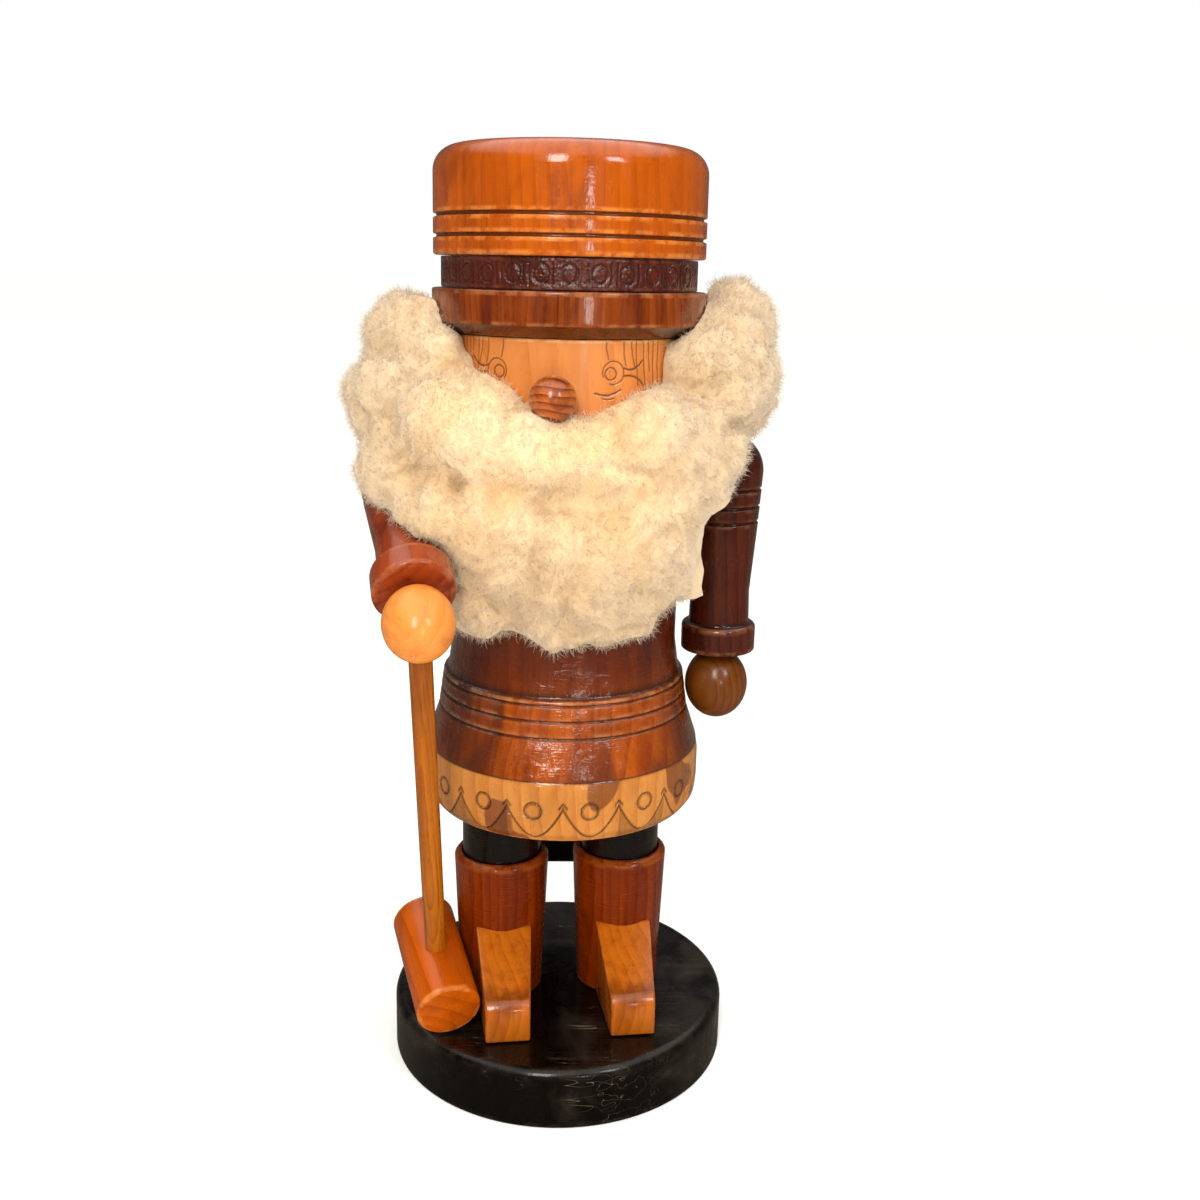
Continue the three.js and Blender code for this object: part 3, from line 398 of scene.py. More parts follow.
def edge_of(outline, reach=0.9):
    """How convex (positive) or hollow (negative) an outline is near each of its points."""
    along = np.concatenate([[0], np.cumsum(np.linalg.norm(np.diff(outline, axis=0), axis=1))])
    step = np.diff(outline, axis=0)
    heading = np.unwrap(np.arctan2(step[:, 1], step[:, 0]))
    turn = np.zeros(len(outline))
    turn[1:-1] = np.diff(heading)
    weight = np.exp(-((along[:, None] - along[None, :]) / reach) ** 2)
    return np.clip(weight @ turn, -1.5, 1.5)


def turned(name, outline, columns, place=None, marks=None):
    """A turned piece about Z. The outline runs from the axis at the bottom, outside, to the axis at
    the top. marks(angle, height) gives the depth cut into the surface and how burned it is."""
    along = np.gradient(outline, axis=0)
    normal = np.stack([along[:, 1], -along[:, 0]], axis=1)
    normal /= np.linalg.norm(normal, axis=1)[:, None]
    body = slice(1, len(outline) - 1)
    rim, rim_normal = outline[body], normal[body]
    angle = np.arange(columns) * 2 * math.pi / columns
    rows = len(rim)
    radius = np.repeat(rim[:, :1], columns, axis=1)
    height = np.repeat(rim[:, 1:], columns, axis=1)
    burn = np.zeros((rows, columns))
    if marks is not None:
        wrapped = (angle + math.pi) % (2 * math.pi) - math.pi
        depth, burn = marks(wrapped[None, :], height)
        radius = radius - depth * rim_normal[:, :1]
        height = height - depth * rim_normal[:, 1:]
    x, y = radius * np.sin(angle), -radius * np.cos(angle)
    ring_points = np.stack([x, y, height], axis=2).reshape(-1, 3)
    ends = np.array([[0, 0, outline[0, 1]], [0, 0, outline[-1, 1]]])
    index = np.arange(rows * columns).reshape(rows, columns)
    right = np.roll(index, -1, axis=1)
    quads = np.stack([index[:-1], right[:-1], right[1:], index[1:]], axis=2).reshape(-1, 4)
    bottom, top = rows * columns, rows * columns + 1
    faces = quads.tolist()
    faces += [[bottom, b, a] for a, b in zip(index[0].tolist(), right[0].tolist())]
    faces += [[top, a, b] for a, b in zip(index[-1].tolist(), right[-1].tolist())]
    made = mesh_object(name, np.vstack([ring_points, ends]), faces, place)
    edge = edge_of(outline)
    set_attribute(made, "edge", np.concatenate([np.repeat(edge[body], columns), edge[[0, -1]]]))
    set_attribute(made, "burn", np.concatenate([burn.reshape(-1), [0, 0]]))
    return made


def plate(name, outline, width, bevel, place=None):
    """A plate of an outline in (y, z), as wide as given about x = 0 (a number, or a function of
    y and z), with rounded edges."""
    points, count = [], len(outline)
    for side in (-1, 1):
        for y, z in outline:
            half = width(y, z) / 2 if callable(width) else width / 2
            points.append((side * half, y, z))
    faces = [[i, (i + 1) % count, count + (i + 1) % count, count + i] for i in range(count)]
    faces += [list(range(count))[::-1], list(range(count, 2 * count))]
    made = mesh_object(name, points, faces, place)
    rounding = made.modifiers.new("rounding", "BEVEL")
    rounding.width = bevel * MM
    rounding.segments = 3
    rounding.limit_method = "ANGLE"
    rounding.angle_limit = math.radians(30)
    apply_modifiers(made)
    return made


def worn_edges(made, reach):
    """Marks the points of a bevelled piece by how near they are to one of its edges."""
    mesh = made.data
    count = len(mesh.vertices)
    normals = np.zeros(count * 3)
    mesh.vertices.foreach_get("normal", normals)
    normals = normals.reshape(-1, 3)
    spread = np.zeros(count)
    for polygon in mesh.polygons:
        for v in polygon.vertices:
            spread[v] = max(spread[v], 1 - normals[v] @ np.array(polygon.normal))
    set_attribute(made, "edge", np.clip(spread * reach, 0, 1))
    set_attribute(made, "burn", np.zeros(count))


def finish_piece(made, body, slot, material, *replaced):
    """Says what a piece is made of, what it rides on and which CAD nodes it stands for."""
    made.data.materials.clear()
    made.data.materials.append(material)
    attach(made, body)
    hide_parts(*replaced)


def cut_away(made, cutter):
    """Cuts one closed mesh from another."""
    tool = made.modifiers.new("cut", "BOOLEAN")
    tool.operation = "DIFFERENCE"
    tool.solver = "MANIFOLD"
    tool.object = cutter
    bpy.context.view_layer.update()
    apply_modifiers(made)
    bpy.data.objects.remove(cutter)


# ---------------------------------------------------------------- burned marks


def near_path(u, v, path):
    """Distance of each (u, v) to a path of straight stretches."""
    path = np.asarray(path, float)
    best = np.full(np.broadcast(u, v).shape, 1e9)
    for a, b in zip(path, path[1:]):
        step = b - a
        t = np.clip(((u - a[0]) * step[0] + (v - a[1]) * step[1]) / (step @ step), 0, 1)
        best = np.minimum(best, np.hypot(u - a[0] - t * step[0], v - a[1] - t * step[1]))
    return best


def stroke(distance, width):
    """Share of a burned line, 1 along its middle and 0 past its width."""
    return np.clip(1 - (distance / width) ** 2, 0, 1)


def arc_path(centre, radius, from_degrees, to_degrees, count=14):
    angles = np.radians(np.linspace(from_degrees, to_degrees, count))
    return [(centre[0] + radius * math.cos(a), centre[1] + radius * math.sin(a)) for a in angles]


# ---------------------------------------------------------------- base, boots, feet and legs


def base():
    low, high = span("base_disc")
    radius, top = high[0] + 0.2, high[2]
    corners = [(0, 0, 0), (radius, 0, 0.8), (radius, top, 3.2), (0, top, 0)]
    made = turned("base", outline_of(corners, 1.5), 224)
    for side in ("left", "right"):
        x, y, _ = middle(f"base_screw_{side}")
        head_space, shank_space = 4.4, 2.3
        straight, taper_end, deep = 1.6, 4.4, 12
        sink = [(0, -5, 0), (head_space, -5, 0), (head_space, straight, 0),
                (shank_space, taper_end, 0), (shank_space, deep, 0), (0, deep, 0)]
        cut_away(made, turned(f"sink_{side}", outline_of(sink, 4), 40, placed((x, y, 0))))
    material, tree, surface = new_material("black_lacquer_base")
    colour, height = figured(tree, srgb(17, 12, 8), srgb(9, 6, 4), srgb(5, 3, 2), turn=(math.pi / 2, 0, 0.3),
                             growth=7, streaks=0.6, mottle=0.4)
    across = space(tree, (0.05, 1.6, 1), (0, 0, 0.7))
    again = space(tree, (0.04, 1.9, 1), (0, 0, -0.45), (40, 9, 0))
    for lines in (across, again):
        scratch = spotted(tree, lines, 6.0, 2.0)
        thin = between(tree, calc(tree, "ABSOLUTE", calc(tree, "SUBTRACT", scratch, 0.5)), 0.003, 0.0005)
        gate = between(tree, spotted(tree, space(tree), 22.0), 0.5, 0.62)
        colour = mixed(tree, calc(tree, "MULTIPLY", thin, gate), colour, srgb(96, 84, 70))
    haze = between(tree, spotted(tree, space(tree), 30.0, 3.0, 0.6, 0.6), 0.5, 0.75, 0, 0.06)
    colour = mixed(tree, haze, colour, srgb(150, 138, 118))
    finished(tree, surface, colour, height, gloss=0.26, lacquer=0.35, lacquer_gloss=0.1, relief=0.03,
             orange_peel=0.045, worn=srgb(58, 46, 36), wear=0.35, specular=0.15)
    finish_piece(made, "body", "base_black", material, "base_disc")


def stance_angle():
    """How far the boots' line is turned about Z from the X axis."""
    between_boots = middle("boot_left") - middle("boot_right")
    return math.atan2(between_boots[1], between_boots[0])


def boots_and_legs():
    """Boots with a rim and a sunk top, and the black legs that stand in them on tenons."""
    boot_wood = wood("boot_stain", (128, 50, 1), (84, 25, 1), (44, 13, 1), growth=3.4, heart=(20, 12),
                     streaks=0.5, mottle=0.35,
                     finish=dict(worn=srgb(160, 84, 26), gloss=0.24, lacquer=0.7, lacquer_gloss=0.07,
                                 orange_peel=0.05, specular=0.1, lathe=0.35))
    black = wood("leg_black", (26, 20, 17), (15, 12, 11), (9, 8, 8), growth=5,
                 finish=dict(worn=srgb(64, 50, 40), gloss=0.24, lacquer=0.8, wear=0.3, orange_peel=0.06,
                             lathe=0.35))
    for side in ("left", "right"):
        low, high = span(f"boot_{side}")
        axis = middle(f"base_screw_{side}")
        sole, top = low[2], high[2]
        top_radius = (high[0] - low[0]) / 2 + 0.05
        sole_radius, rim, recess = top_radius - 2.1, 2.6, 4.0
        corners = [(0, sole, 0), (sole_radius, sole, 0.5), (top_radius, top - 1.6, 1.2),
                   (top_radius - 1.3, top, 0.8), (top_radius - rim, top, 0.5),
                   (top_radius - rim - 0.2, top - recess, 0), (0, top - recess, 0)]
        place = placed((axis[0], axis[1], 0))
        boot = turned(f"turned_boot_{side}", outline_of(corners, 1.6), 128, place)
        finish_piece(boot, "body", "boot_stain", boot_wood, f"boot_{side}")
        leg_low, leg_high = span(f"leg_{side}")
        leg_radius = (leg_high[0] - leg_low[0]) / 2 + 0.05
        shown_from, shown_to = top - recess + 0.3, span("coat")[0][2] - 0.3
        tenon = 6.0
        corners = [(0, leg_low[2], 0), (tenon, leg_low[2], 0.8), (tenon, shown_from, 0),
                   (leg_radius, shown_from, 0), (leg_radius, shown_to, 0.8), (tenon, shown_to, 0),
                   (tenon, leg_high[2], 0.8), (0, leg_high[2], 0)]
        leg = turned(f"turned_leg_{side}", outline_of(corners, 1.6), 96, place)
        finish_piece(leg, "body", "leg_black", black, f"leg_{side}")


def feet():
    """Foot blocks with a sloping top and a round nose, narrower towards the toe."""
    material = wood("foot_stain", (186, 98, 22), (132, 56, 10), (80, 30, 8), growth=3.6, heart=(26, 40),
                    turn=(math.pi / 2 - 0.35, 0, 0.1), streaks=0.5, mottle=0.6, figure=0.5,
                    finish=dict(worn=srgb(226, 160, 84), gloss=0.3, lacquer_gloss=0.12, wear=0.9,
                                orange_peel=0.03))
    heading = stance_angle()
    for side in ("left", "right"):
        low, high = span(f"foot_{side}")
        axis = middle(f"base_screw_{side}")
        sole = low[2]
        reach, rear_width, tip_width = 41.5, 19.5, 15.2
        tip_height, rear_height, rear_reach, nose = 15.0, 28.5, 14.8, 5.5
        round_nose = [(-reach, sole + tip_height - nose)]
        for k in range(1, 9):
            angle = math.radians(90 * k / 9)
            round_nose.append((-reach + nose - nose * math.cos(angle),
                               sole + tip_height - nose * (1 - math.sin(angle))))
        rear_top = sole + rear_height - 0.2
        rear = -6.0
        outline = [(rear, sole), (rear, rear_top), (-rear_reach, rear_top)]
        outline += round_nose[::-1] + [(-reach, sole)]

        def width(y, z):
            share = np.clip((-y - rear_reach) / (reach - rear_reach), 0, 1)
            return rear_width + (tip_width - rear_width) * share

        place = placed((axis[0], axis[1], 0), (math.cos(heading), math.sin(heading), 0))
        foot = plate(f"foot_block_{side}", outline[::-1], width, 0.7, place)
        worn_edges(foot, 6.0)
        finish_piece(foot, "body", "foot_stain", material, f"foot_{side}")


# ---------------------------------------------------------------- coat and lever


def coat_marks(bottom):
    """Scallops and rings burned into the hem: arcs with crossed ends, and a ring over each arc."""
    pitch = 2 * math.pi / SCALLOPS
    pitch_width = HEM_RADIUS * pitch
    half = pitch_width / 2
    rise, curve, foot = 10.6, 1.7, 1.6
    ring_height, ring_radius, inner_radius = 11.6, 2.9, 2.3

    def marks(angle, height):
        angle = angle + 0 * height
        cell = np.floor(angle / pitch)
        u = (angle / pitch - cell - 0.5) * pitch_width
        v = height - bottom
        odd = odd_number(cell, 12.9898)
        inside = (v < HEM_HEIGHT - 1.5)
        arc = foot + rise * (np.abs(u / half)) ** curve
        slope = rise * curve / half * np.abs(u / half) ** (curve - 1)
        off = np.abs(v - arc) / np.sqrt(1 + slope ** 2)
        line = stroke(off, 0.45) * (v < foot + rise + 1.0)
        beyond = np.abs(u) - half
        crossing = foot + rise + 1.2 * (beyond + 1.5)
        cross = stroke(np.abs(v - crossing) / 1.6, 0.4) * (beyond > -1.5)
        line = np.maximum(line, cross * (v > rise))
        ring = np.hypot(u - odd * 1.2, v - ring_height - odd * 0.8)
        double = np.maximum(stroke(np.abs(ring - ring_radius), 0.38),
                            0.6 * stroke(np.abs(ring - inner_radius), 0.3))
        burned = np.maximum(line, double) * inside
        border = stroke(np.abs(v - HEM_HEIGHT), 0.4)
        stained = 0.42 * (v < arc - 0.3) * (odd > -0.1) * (np.abs(u) < half) * (v > 0.5)
        return 0.42 * burned + 0.25 * border, np.maximum(np.maximum(burned, 0.75 * border), stained)

    return marks


def coat():
    """One turned piece: hem, grooved skirt, a ledge, a waist and the shoulders, cut by the slot."""
    low, high = span("coat")
    bottom, height = low[2], high[2] - low[2]
    hem, shoulder, waist, ledge = HEM_RADIUS, SHOULDER_RADIUS, 38.8, 42.0
    corners = [(0, 0, 0), (hem - 3.0, 0, 0.7), (hem - 0.6, 3.2, 4), (hem, 9, 8),
               (hem, HEM_HEIGHT - 3, 6), (hem - 0.7, HEM_HEIGHT + 1.5, 6)]
    first, half_groove = SKIRT_GROOVES[0], GROOVE_WIDTH / 2
    for groove_height in SKIRT_GROOVES:
        radius = ledge + 1.6 * (1 - (groove_height - first) / (LEDGE_HEIGHT - first))
        corners += [(radius, groove_height - half_groove, 0.35),
                    (radius - GROOVE_DEPTH, groove_height, 0.25),
                    (radius - 0.1, groove_height + half_groove, 0.35)]
    belt, chest, armpit = 58, 84, 104
    corners += [(ledge - 0.2, LEDGE_HEIGHT + 0.2, 0.4), (SHOULDER_RADIUS, LEDGE_HEIGHT + 1.0, 1.0),
                (waist, belt, 30), (waist + 0.2, chest, 40), (shoulder, armpit, 40),
                (shoulder, height, 5.0), (0, height, 0)]

    def step(z):
        fine, coarse = 0.45, 3.0
        return fine if 0.3 < z < HEM_HEIGHT + 1 else coarse

    outline = outline_of(corners, step) + np.array([0, bottom])
    made = turned("coat_turned", outline, 704, None, coat_marks(bottom))
    cut_away(made, slot_space(low, high))
    made.data.polygons.foreach_set("use_smooth", np.ones(len(made.data.polygons), bool))
    sharpen(made)
    finish_piece(made, "body", "coat_stain", coat_stain(bottom), "coat")


def sharpen(made, angle=35):
    """Keeps the edges of cuts crisp on a smooth-shaded mesh."""
    made.data.set_sharp_from_angle(angle=math.radians(angle))


def along_tail(z, offset):
    """Reach of a line beside the lever's tail, which slants from the pin to the tip."""
    low, high = span("jaw_lever")
    pivot = pivot_of("jaw_hinge")
    share = (pivot[2] - z) / (pivot[2] - low[2])
    return pivot[1] + (high[1] - TAIL_THICKNESS / 2 - pivot[1]) * share + offset


def slot_space(low, high):
    """The lever's slot: a mouth at the front, open to the top, and a groove down the back."""
    pivot = pivot_of("jaw_hinge")
    lever_low, lever_high = span("jaw_lever")
    clearance, past = 0.5, 30.0
    half = lever_high[0] + clearance
    opening = math.radians(JOINTS["jaw_hinge"]["range_deg"][1])
    reach = -lever_low[1]
    drop = (reach + pivot[1]) * math.tan(opening)
    mouth_floor = high[2] - JAW_THICKNESS - 1.5 - drop
    heel = pivot[2] - 12.0
    under, over = low[2] - 1, high[2] + 1
    inner = -TAIL_THICKNESS / 2 - clearance
    outline = [(-reach - past, mouth_floor), (-reach, mouth_floor), (pivot[1] - TAIL_THICKNESS, heel),
               (along_tail(heel, inner), heel), (along_tail(under, inner), under),
               (HEM_RADIUS + past, under), (HEM_RADIUS + past, over), (-reach - past, over)]
    points = [(x, y, z) for x in (-half, half) for y, z in outline]
    count = len(outline)
    faces = [[i, count + i, count + (i + 1) % count, (i + 1) % count] for i in range(count)]
    faces += [list(range(count)), list(range(count, 2 * count))[::-1]]
    made = mesh_object("slot_space", points, faces)
    make_outward(made)
    return made


def make_outward(made):
    work = bmesh.new()
    work.from_mesh(made.data)
    bmesh.ops.recalc_face_normals(work, faces=work.faces)
    work.to_mesh(made.data)
    work.free()


def coat_stain(bottom):
    """Dark red-brown coat, orange-brown skirt with painted shade at its sides, and a pale hem with stained
    patches.
    """
    material, tree, surface = new_material("coat_stain")
    upper, upper_height = figured(tree, srgb(120, 54, 22), srgb(78, 30, 12), srgb(40, 15, 8), growth=5,
                                  heart=(30, 20), streaks=0.6, mottle=0.45, seed=3)
    skirt, skirt_height = figured(tree, srgb(162, 76, 18), srgb(120, 46, 10), srgb(66, 24, 10), growth=4.5,
                                  heart=(34, 12), streaks=0.55, mottle=0.5, seed=11)
    hem, hem_height = figured(tree, srgb(198, 128, 60), srgb(172, 100, 40), srgb(124, 68, 28), growth=5,
                              heart=(30, 20), streaks=0.3, mottle=0.25, seed=7)
    whole = space(tree)
    parts = put(tree, "SeparateXYZ", {0: whole})
    z, x = parts.outputs["Z"], parts.outputs["X"]
    round_noise = spotted(tree, space(tree, (1, 1, 0.35)), 24.0, 2.0, 0.5, 0.5)
    skirt = mixed(tree, between(tree, round_noise, 0.46, 0.62, 0, 0.85), skirt, srgb(92, 44, 26))
    # Painted shade: the skirt is darkened towards its left and right sides, away from its front.
    side = calc(tree, "ABSOLUTE", calc(tree, "ADD", x, -6.0))
    skirt = mixed(tree, between(tree, side, 16.0, 40.0, 0, 0.75), skirt, srgb(72, 30, 12))
    patch = spotted(tree, space(tree, (1, 1, 0.8), (0, 0, 0), (60, 21, 9)), 20.0, 1.5, 0.4, 0.3)
    hem = mixed(tree, between(tree, patch, 0.56, 0.58, 0, 0.8), hem, srgb(112, 58, 30))
    lower = between(tree, z, bottom + HEM_HEIGHT - 0.3, bottom + HEM_HEIGHT + 0.1)
    colour = mixed(tree, lower, hem, skirt)
    ledge = bottom + LEDGE_HEIGHT
    uneven = calc(tree, "ADD", z, calc(tree, "MULTIPLY", round_noise, 4.0))
    colour = mixed(tree, between(tree, uneven, ledge + 1.0, ledge + 14.0, 0, 0.9), colour, upper)
    over_ledge = calc(tree, "MULTIPLY", between(tree, z, ledge, ledge + 0.4), 0.6)
    colour = mixed(tree, over_ledge, colour, srgb(70, 26, 14))
    height = calc(tree, "ADD", calc(tree, "MULTIPLY", upper_height, 0.5),
                  calc(tree, "MULTIPLY", hem_height, 0.5))
    finished(tree, surface, colour, height, gloss=0.22, lacquer=1.0, lacquer_gloss=0.1, relief=0.09,
             orange_peel=0.18, lathe=0.32, worn=srgb(205, 150, 96), wear=0.35)
    return material


def lever():
    """The jaw and its tail in one plate, with a round lip and a round tip."""
    low, high = span("jaw_lever")
    pivot = pivot_of("jaw_hinge")
    top, half = high[2], TAIL_THICKNESS / 2
    underside, lip, tip = top - JAW_THICKNESS, low[1], low[2]
    near_tip, corner = tip + 3, 1.5
    outline = [(lip + 0.8, underside), (lip, underside + 2), (lip, top - 2.5), (lip + 0.9, top - 0.7),
               (lip + 2.5, top), (pivot[1] - 6, top), (pivot[1], top - 0.6),
               (along_tail(pivot[2] + 7, half), pivot[2] + 8), (along_tail(pivot[2], half) + 0.3, pivot[2])]
    for share in (0.2, 0.4, 0.6, 0.8):
        z = pivot[2] + (tip - pivot[2]) * share
        outline.append((along_tail(z, half), z))
    outline += [(along_tail(near_tip, half), near_tip), (along_tail(tip, half) - corner, tip),
                (along_tail(tip, -half) + corner, tip), (along_tail(near_tip, -half), near_tip)]
    outline += [(along_tail(pivot[2] - below, -half), pivot[2] - below) for below in (40, 10)]
    outline.append((pivot[1] - TAIL_THICKNESS, underside))
    made = plate("lever_carved", outline, high[0] - low[0], 0.8)
    make_outward(made)
    worn_edges(made, 5.0)
    black = wood("lever_black", (28, 22, 18), (17, 13, 12), (10, 8, 8), growth=5,
                 finish=dict(worn=srgb(96, 66, 42), gloss=0.3, lacquer=0.7, wear=0.6, orange_peel=0.05))
    finish_piece(made, "jaw", "lever_black", black, "jaw_lever")


# ---------------------------------------------------------------- head, nose and hat


def face_strokes(radius, bottom):
    """Burned lines of the face, as paths in (distance round the head, height)."""
    paths = []
    for side, eye_angle in ((-1, -35.1), (1, 19.7)):
        middle_u = radius * (math.radians(eye_angle) - HEAD_TURN)
        v = bottom + 22.9

        def at(u, dv, side=side, middle_u=middle_u, v=v):
            return (middle_u + side * u, v + dv)

        eye = at(0, 0)
        ring = at(0.9, 0.3)
        paths.append((arc_path(eye, 1.9, 0, 360, 20), 0.32))
        paths.append((arc_path(ring, 3.6, -110 if side > 0 else -70, 200 if side > 0 else 240, 26), 0.26))
        crow_feet = [([(4.6, 1.7), (6.4, 1.2), (8.4, 1.5), (10.2, 2.6), (11.4, 3.9)], 0.42),
                     ([(4.6, -0.7), (6.6, -0.6), (8.6, -1.0), (10.6, -2.2), (12.2, -3.9)], 0.42)]
        cheek = [([(-5.0, -6.0), (-2.8, -6.6), (-0.6, -6.7), (1.6, -6.0), (3.4, -5.0)], 0.45),
                 ([(-2.8, -7.6), (-0.8, -8.0), (1.2, -7.6)], 0.25)]
        paths += [([at(*point) for point in line], width) for line, width in crow_feet + cheek]
        top = bottom + 33.3
        hair = ((-1.6, -0.8, 4.4), (4.2, 5.2, 2.4), (6.8, 8.6, 1.8), (8.8, 10.0, -4.0),
                (11.6, 13.2, -6.0), (13.8, 14.6, 0.5), (16.0, 16.4, -3.0), (18.4, 18.6, -4.0))
        for start, end, stop in hair:
            path_top = at(start, 0)[0]
            path_end = at(end, stop)
            half = ((path_top + path_end[0]) / 2 - side * 0.3, (top + path_end[1]) / 2)
            paths.append(([(path_top, top + 1), half, path_end], 0.24))
    return paths


def head():
    """The turned head, with the face burned into its side."""
    low, high = span("head")
    bottom, top = low[2], high[2]
    radius = HEAD_RADIUS
    paths = face_strokes(radius, bottom)

    def marks(angle, height):
        u = angle * radius + 0 * height
        v = height + 0 * angle
        burned = np.zeros(u.shape)
        for path, width in paths:
            path = np.asarray(path)
            near = (np.abs(u - path[:, 0].mean()) < 14) & (v > path[:, 1].min() - 2)
            burned[near] = np.maximum(burned[near], stroke(near_path(u[near], v[near], path), width))
        side = (v > bottom + 1) & (v < top - 0.5)
        return 0.28 * burned * side, burned * side

    corners = [(0, bottom, 0), (radius, bottom, 2.0), (radius, top, 0.4), (0, top, 0)]

    def step(z):
        return 0.3 if bottom + 10 < z < top - 0.2 else 1.5

    outline = outline_of(corners, step)
    made = turned("head_turned", outline, 800, Matrix.Rotation(HEAD_TURN, 4, "Z"), marks)
    material = wood("head_wood", (216, 134, 70), (194, 110, 46), (160, 78, 30), growth=9, heart=(4, 46),
                    streaks=0.25, mottle=0.2, figure=0.55, seed=0.0,
                    finish=dict(worn=srgb(246, 188, 128), gloss=0.32, lacquer=0.6, lacquer_gloss=0.14,
                                relief=0.02, orange_peel=0.02, burnt=srgb(74, 40, 26)))
    finish_piece(made, "body", "head_wood", material, "head")


def nose():
    """A turned ball and its peg, which points into the face."""
    low, high = span("nose")
    radius = (high[2] - low[2]) / 2
    away = Vector((math.sin(HEAD_TURN), -math.cos(HEAD_TURN), 0))
    centre = Vector((low[0] + high[0], 0, low[2] + high[2])) / 2
    centre.y = low[1] + radius
    centre.x = low[0] + radius if HEAD_TURN < 0 else high[0] - radius
    peg, peg_length = 2.5, 10.3
    points = [(0.0, -radius - peg_length), (peg, -radius - peg_length)]
    start = -math.acos(peg / radius)
    for k in range(33):
        angle = start + (math.pi / 2 - start) * k / 32
        points.append((radius * math.cos(angle), radius * math.sin(angle)))
    points[-1] = (0.0, radius)
    made = turned("nose_turned", outline_of([(r, z, 0) for r, z in points], 1.0), 96,
                  placed(centre, UP, away))
    material = wood("nose_wood", (186, 96, 42), (88, 34, 16), (38, 14, 10), growth=2.2, heart=(34, 3),
                    turn=(math.pi / 2 - 0.1, 0.12, 0), streaks=0.6, mottle=0.3, figure=1.0,
                    finish=dict(gloss=0.25, lacquer_gloss=0.1, relief=0.06, orange_peel=0.03))
    finish_piece(made, "body", "nose_wood", material, "nose")


def band_marks(bottom, top, radius):
    """Stamped rings round the hat band, with short bars between them."""
    pitch = 2 * math.pi / RINGS_ROUND_HAT

    def marks(angle, height):
        cell = np.floor(angle / pitch) + 0 * height
        u = (angle / pitch - cell - 0.5) * pitch * radius
        v = height - (bottom + top) / 2
        odd = odd_number(cell, 78.233)
        ring = np.hypot(u - 0.5 * odd, (v - 0.3 * odd) * 0.82)
        circle = stroke(np.abs(ring - 2.3), 0.5)
        side = np.abs(np.abs(u) - pitch * radius / 2 + 0.9 + 0.02 * v ** 2)
        bars = 0.8 * stroke(side, 0.4) * (np.abs(v) < 3.4)
        marked = np.maximum(circle, bars)
        return 0.4 * marked, 0.6 * marked

    return marks


def painted_shade_below(material, height, shade):
    """Painted shade on the underside of a piece, up to a height, mixed into its colour."""
    tree = material.node_tree
    socket = next(n for n in tree.nodes if n.type == "BSDF_PRINCIPLED").inputs["Base Color"]
    before = socket.links[0].from_socket
    z = put(tree, "SeparateXYZ", {0: space(tree)}).outputs["Z"]
    tree.links.new(mixed(tree, between(tree, z, height, height - 0.5, 0, 0.8), before, shade), socket)


def hat():
    """Brim, stamped band and grooved crown: three turned rings."""
    brim_low, brim_high = span("hat_brim")
    radius = brim_high[0] + HAT_SKIN
    turn = Matrix.Rotation(HEAD_TURN, 4, "Z")
    under = radius - BRIM_CHAMFER
    corners = [(0, brim_low[2], 0), (under, brim_low[2], 0.4),
               (radius, brim_low[2] + BRIM_CHAMFER_HEIGHT, 0.5), (radius, brim_high[2], 0.7),
               (0, brim_high[2], 0)]
    brim = turned("brim_turned", outline_of(corners, 1.2), 192, turn)
    brim_wood = wood("brim_stain", (132, 60, 12), (88, 30, 8), (48, 16, 8), growth=2.6, heart=(14, 30),
                     streaks=0.9, mottle=0.45, seed=5,
                     finish=dict(worn=srgb(176, 108, 60), gloss=0.25, lacquer_gloss=0.09, orange_peel=0.05,
                                 lathe=0.06))
    finish_piece(brim, "body", "brim_stain", brim_wood, "hat_brim")
    # Painted shade on the brim's chamfer, which faces down.
    painted_shade_below(brim_wood, brim_low[2] + 3.9, srgb(58, 20, 6))

    low, high = span("hat_band")
    inset = radius - 3
    corners = [(0, low[2], 0), (inset, low[2], 0.3), (inset, high[2], 0.3), (0, high[2], 0)]
    outline = outline_of(corners, lambda z: 0.35 if low[2] < z < high[2] else 5)
    band = turned("band_turned", outline, 720, turn, band_marks(low[2], high[2], inset))
    band_wood = wood("band_stain", (86, 34, 22), (56, 22, 16), (34, 14, 12), growth=2.5, streaks=0.6,
                     mottle=0.5,
                     finish=dict(worn=srgb(120, 70, 48), gloss=0.22, lacquer=1.0, lacquer_gloss=0.09,
                                 relief=0.10, orange_peel=0.55, lathe=0.15))
    finish_piece(band, "body", "band_stain", band_wood, "hat_band")

    low, high = span("hat_crown")
    crown, floor = radius - 0.5, radius - 0.5 - 1.1
    corners = [(0, low[2], 0), (crown, low[2], 0.9)]
    for groove_height in (6.1, 12.5):
        z = low[2] + groove_height
        corners += [(crown, z - 0.75, 0.3), (floor, z - 0.35, 0.2), (floor, z + 0.35, 0.2),
                    (crown, z + 0.75, 0.3)]
    corners += [(crown, high[2], 8.0), (0, high[2], 0)]
    made = turned("crown_turned", outline_of(corners, 1.5), 224, turn)
    crown_wood = wood("crown_stain", (174, 80, 8), (136, 55, 5), (90, 33, 6), growth=4.5, heart=(20, 34),
                      streaks=0.35, mottle=0.4, figure=0.4, seed=9,
                      finish=dict(worn=srgb(224, 138, 60), gloss=0.22, lacquer_gloss=0.08, orange_peel=0.06,
                                  relief=0.02, lathe=0.05))
    finish_piece(made, "body", "crown_stain", crown_wood, "hat_crown")


# ---------------------------------------------------------------- arms, hands and mallet


def arm_frames():
    """Where each arm hangs: the shoulder's centre, and the directions across and up the arm."""
    frames = {}
    for side in ("left", "right"):
        origin = pivot_of(f"shoulder_{side}")
        across = -np.array(JOINTS[f"shoulder_{side}"]["axis"])
        up = origin - middle(f"hand_{side}")
        up -= across * (up @ across)
        frames[side] = (origin, across, unit(up))
    return frames


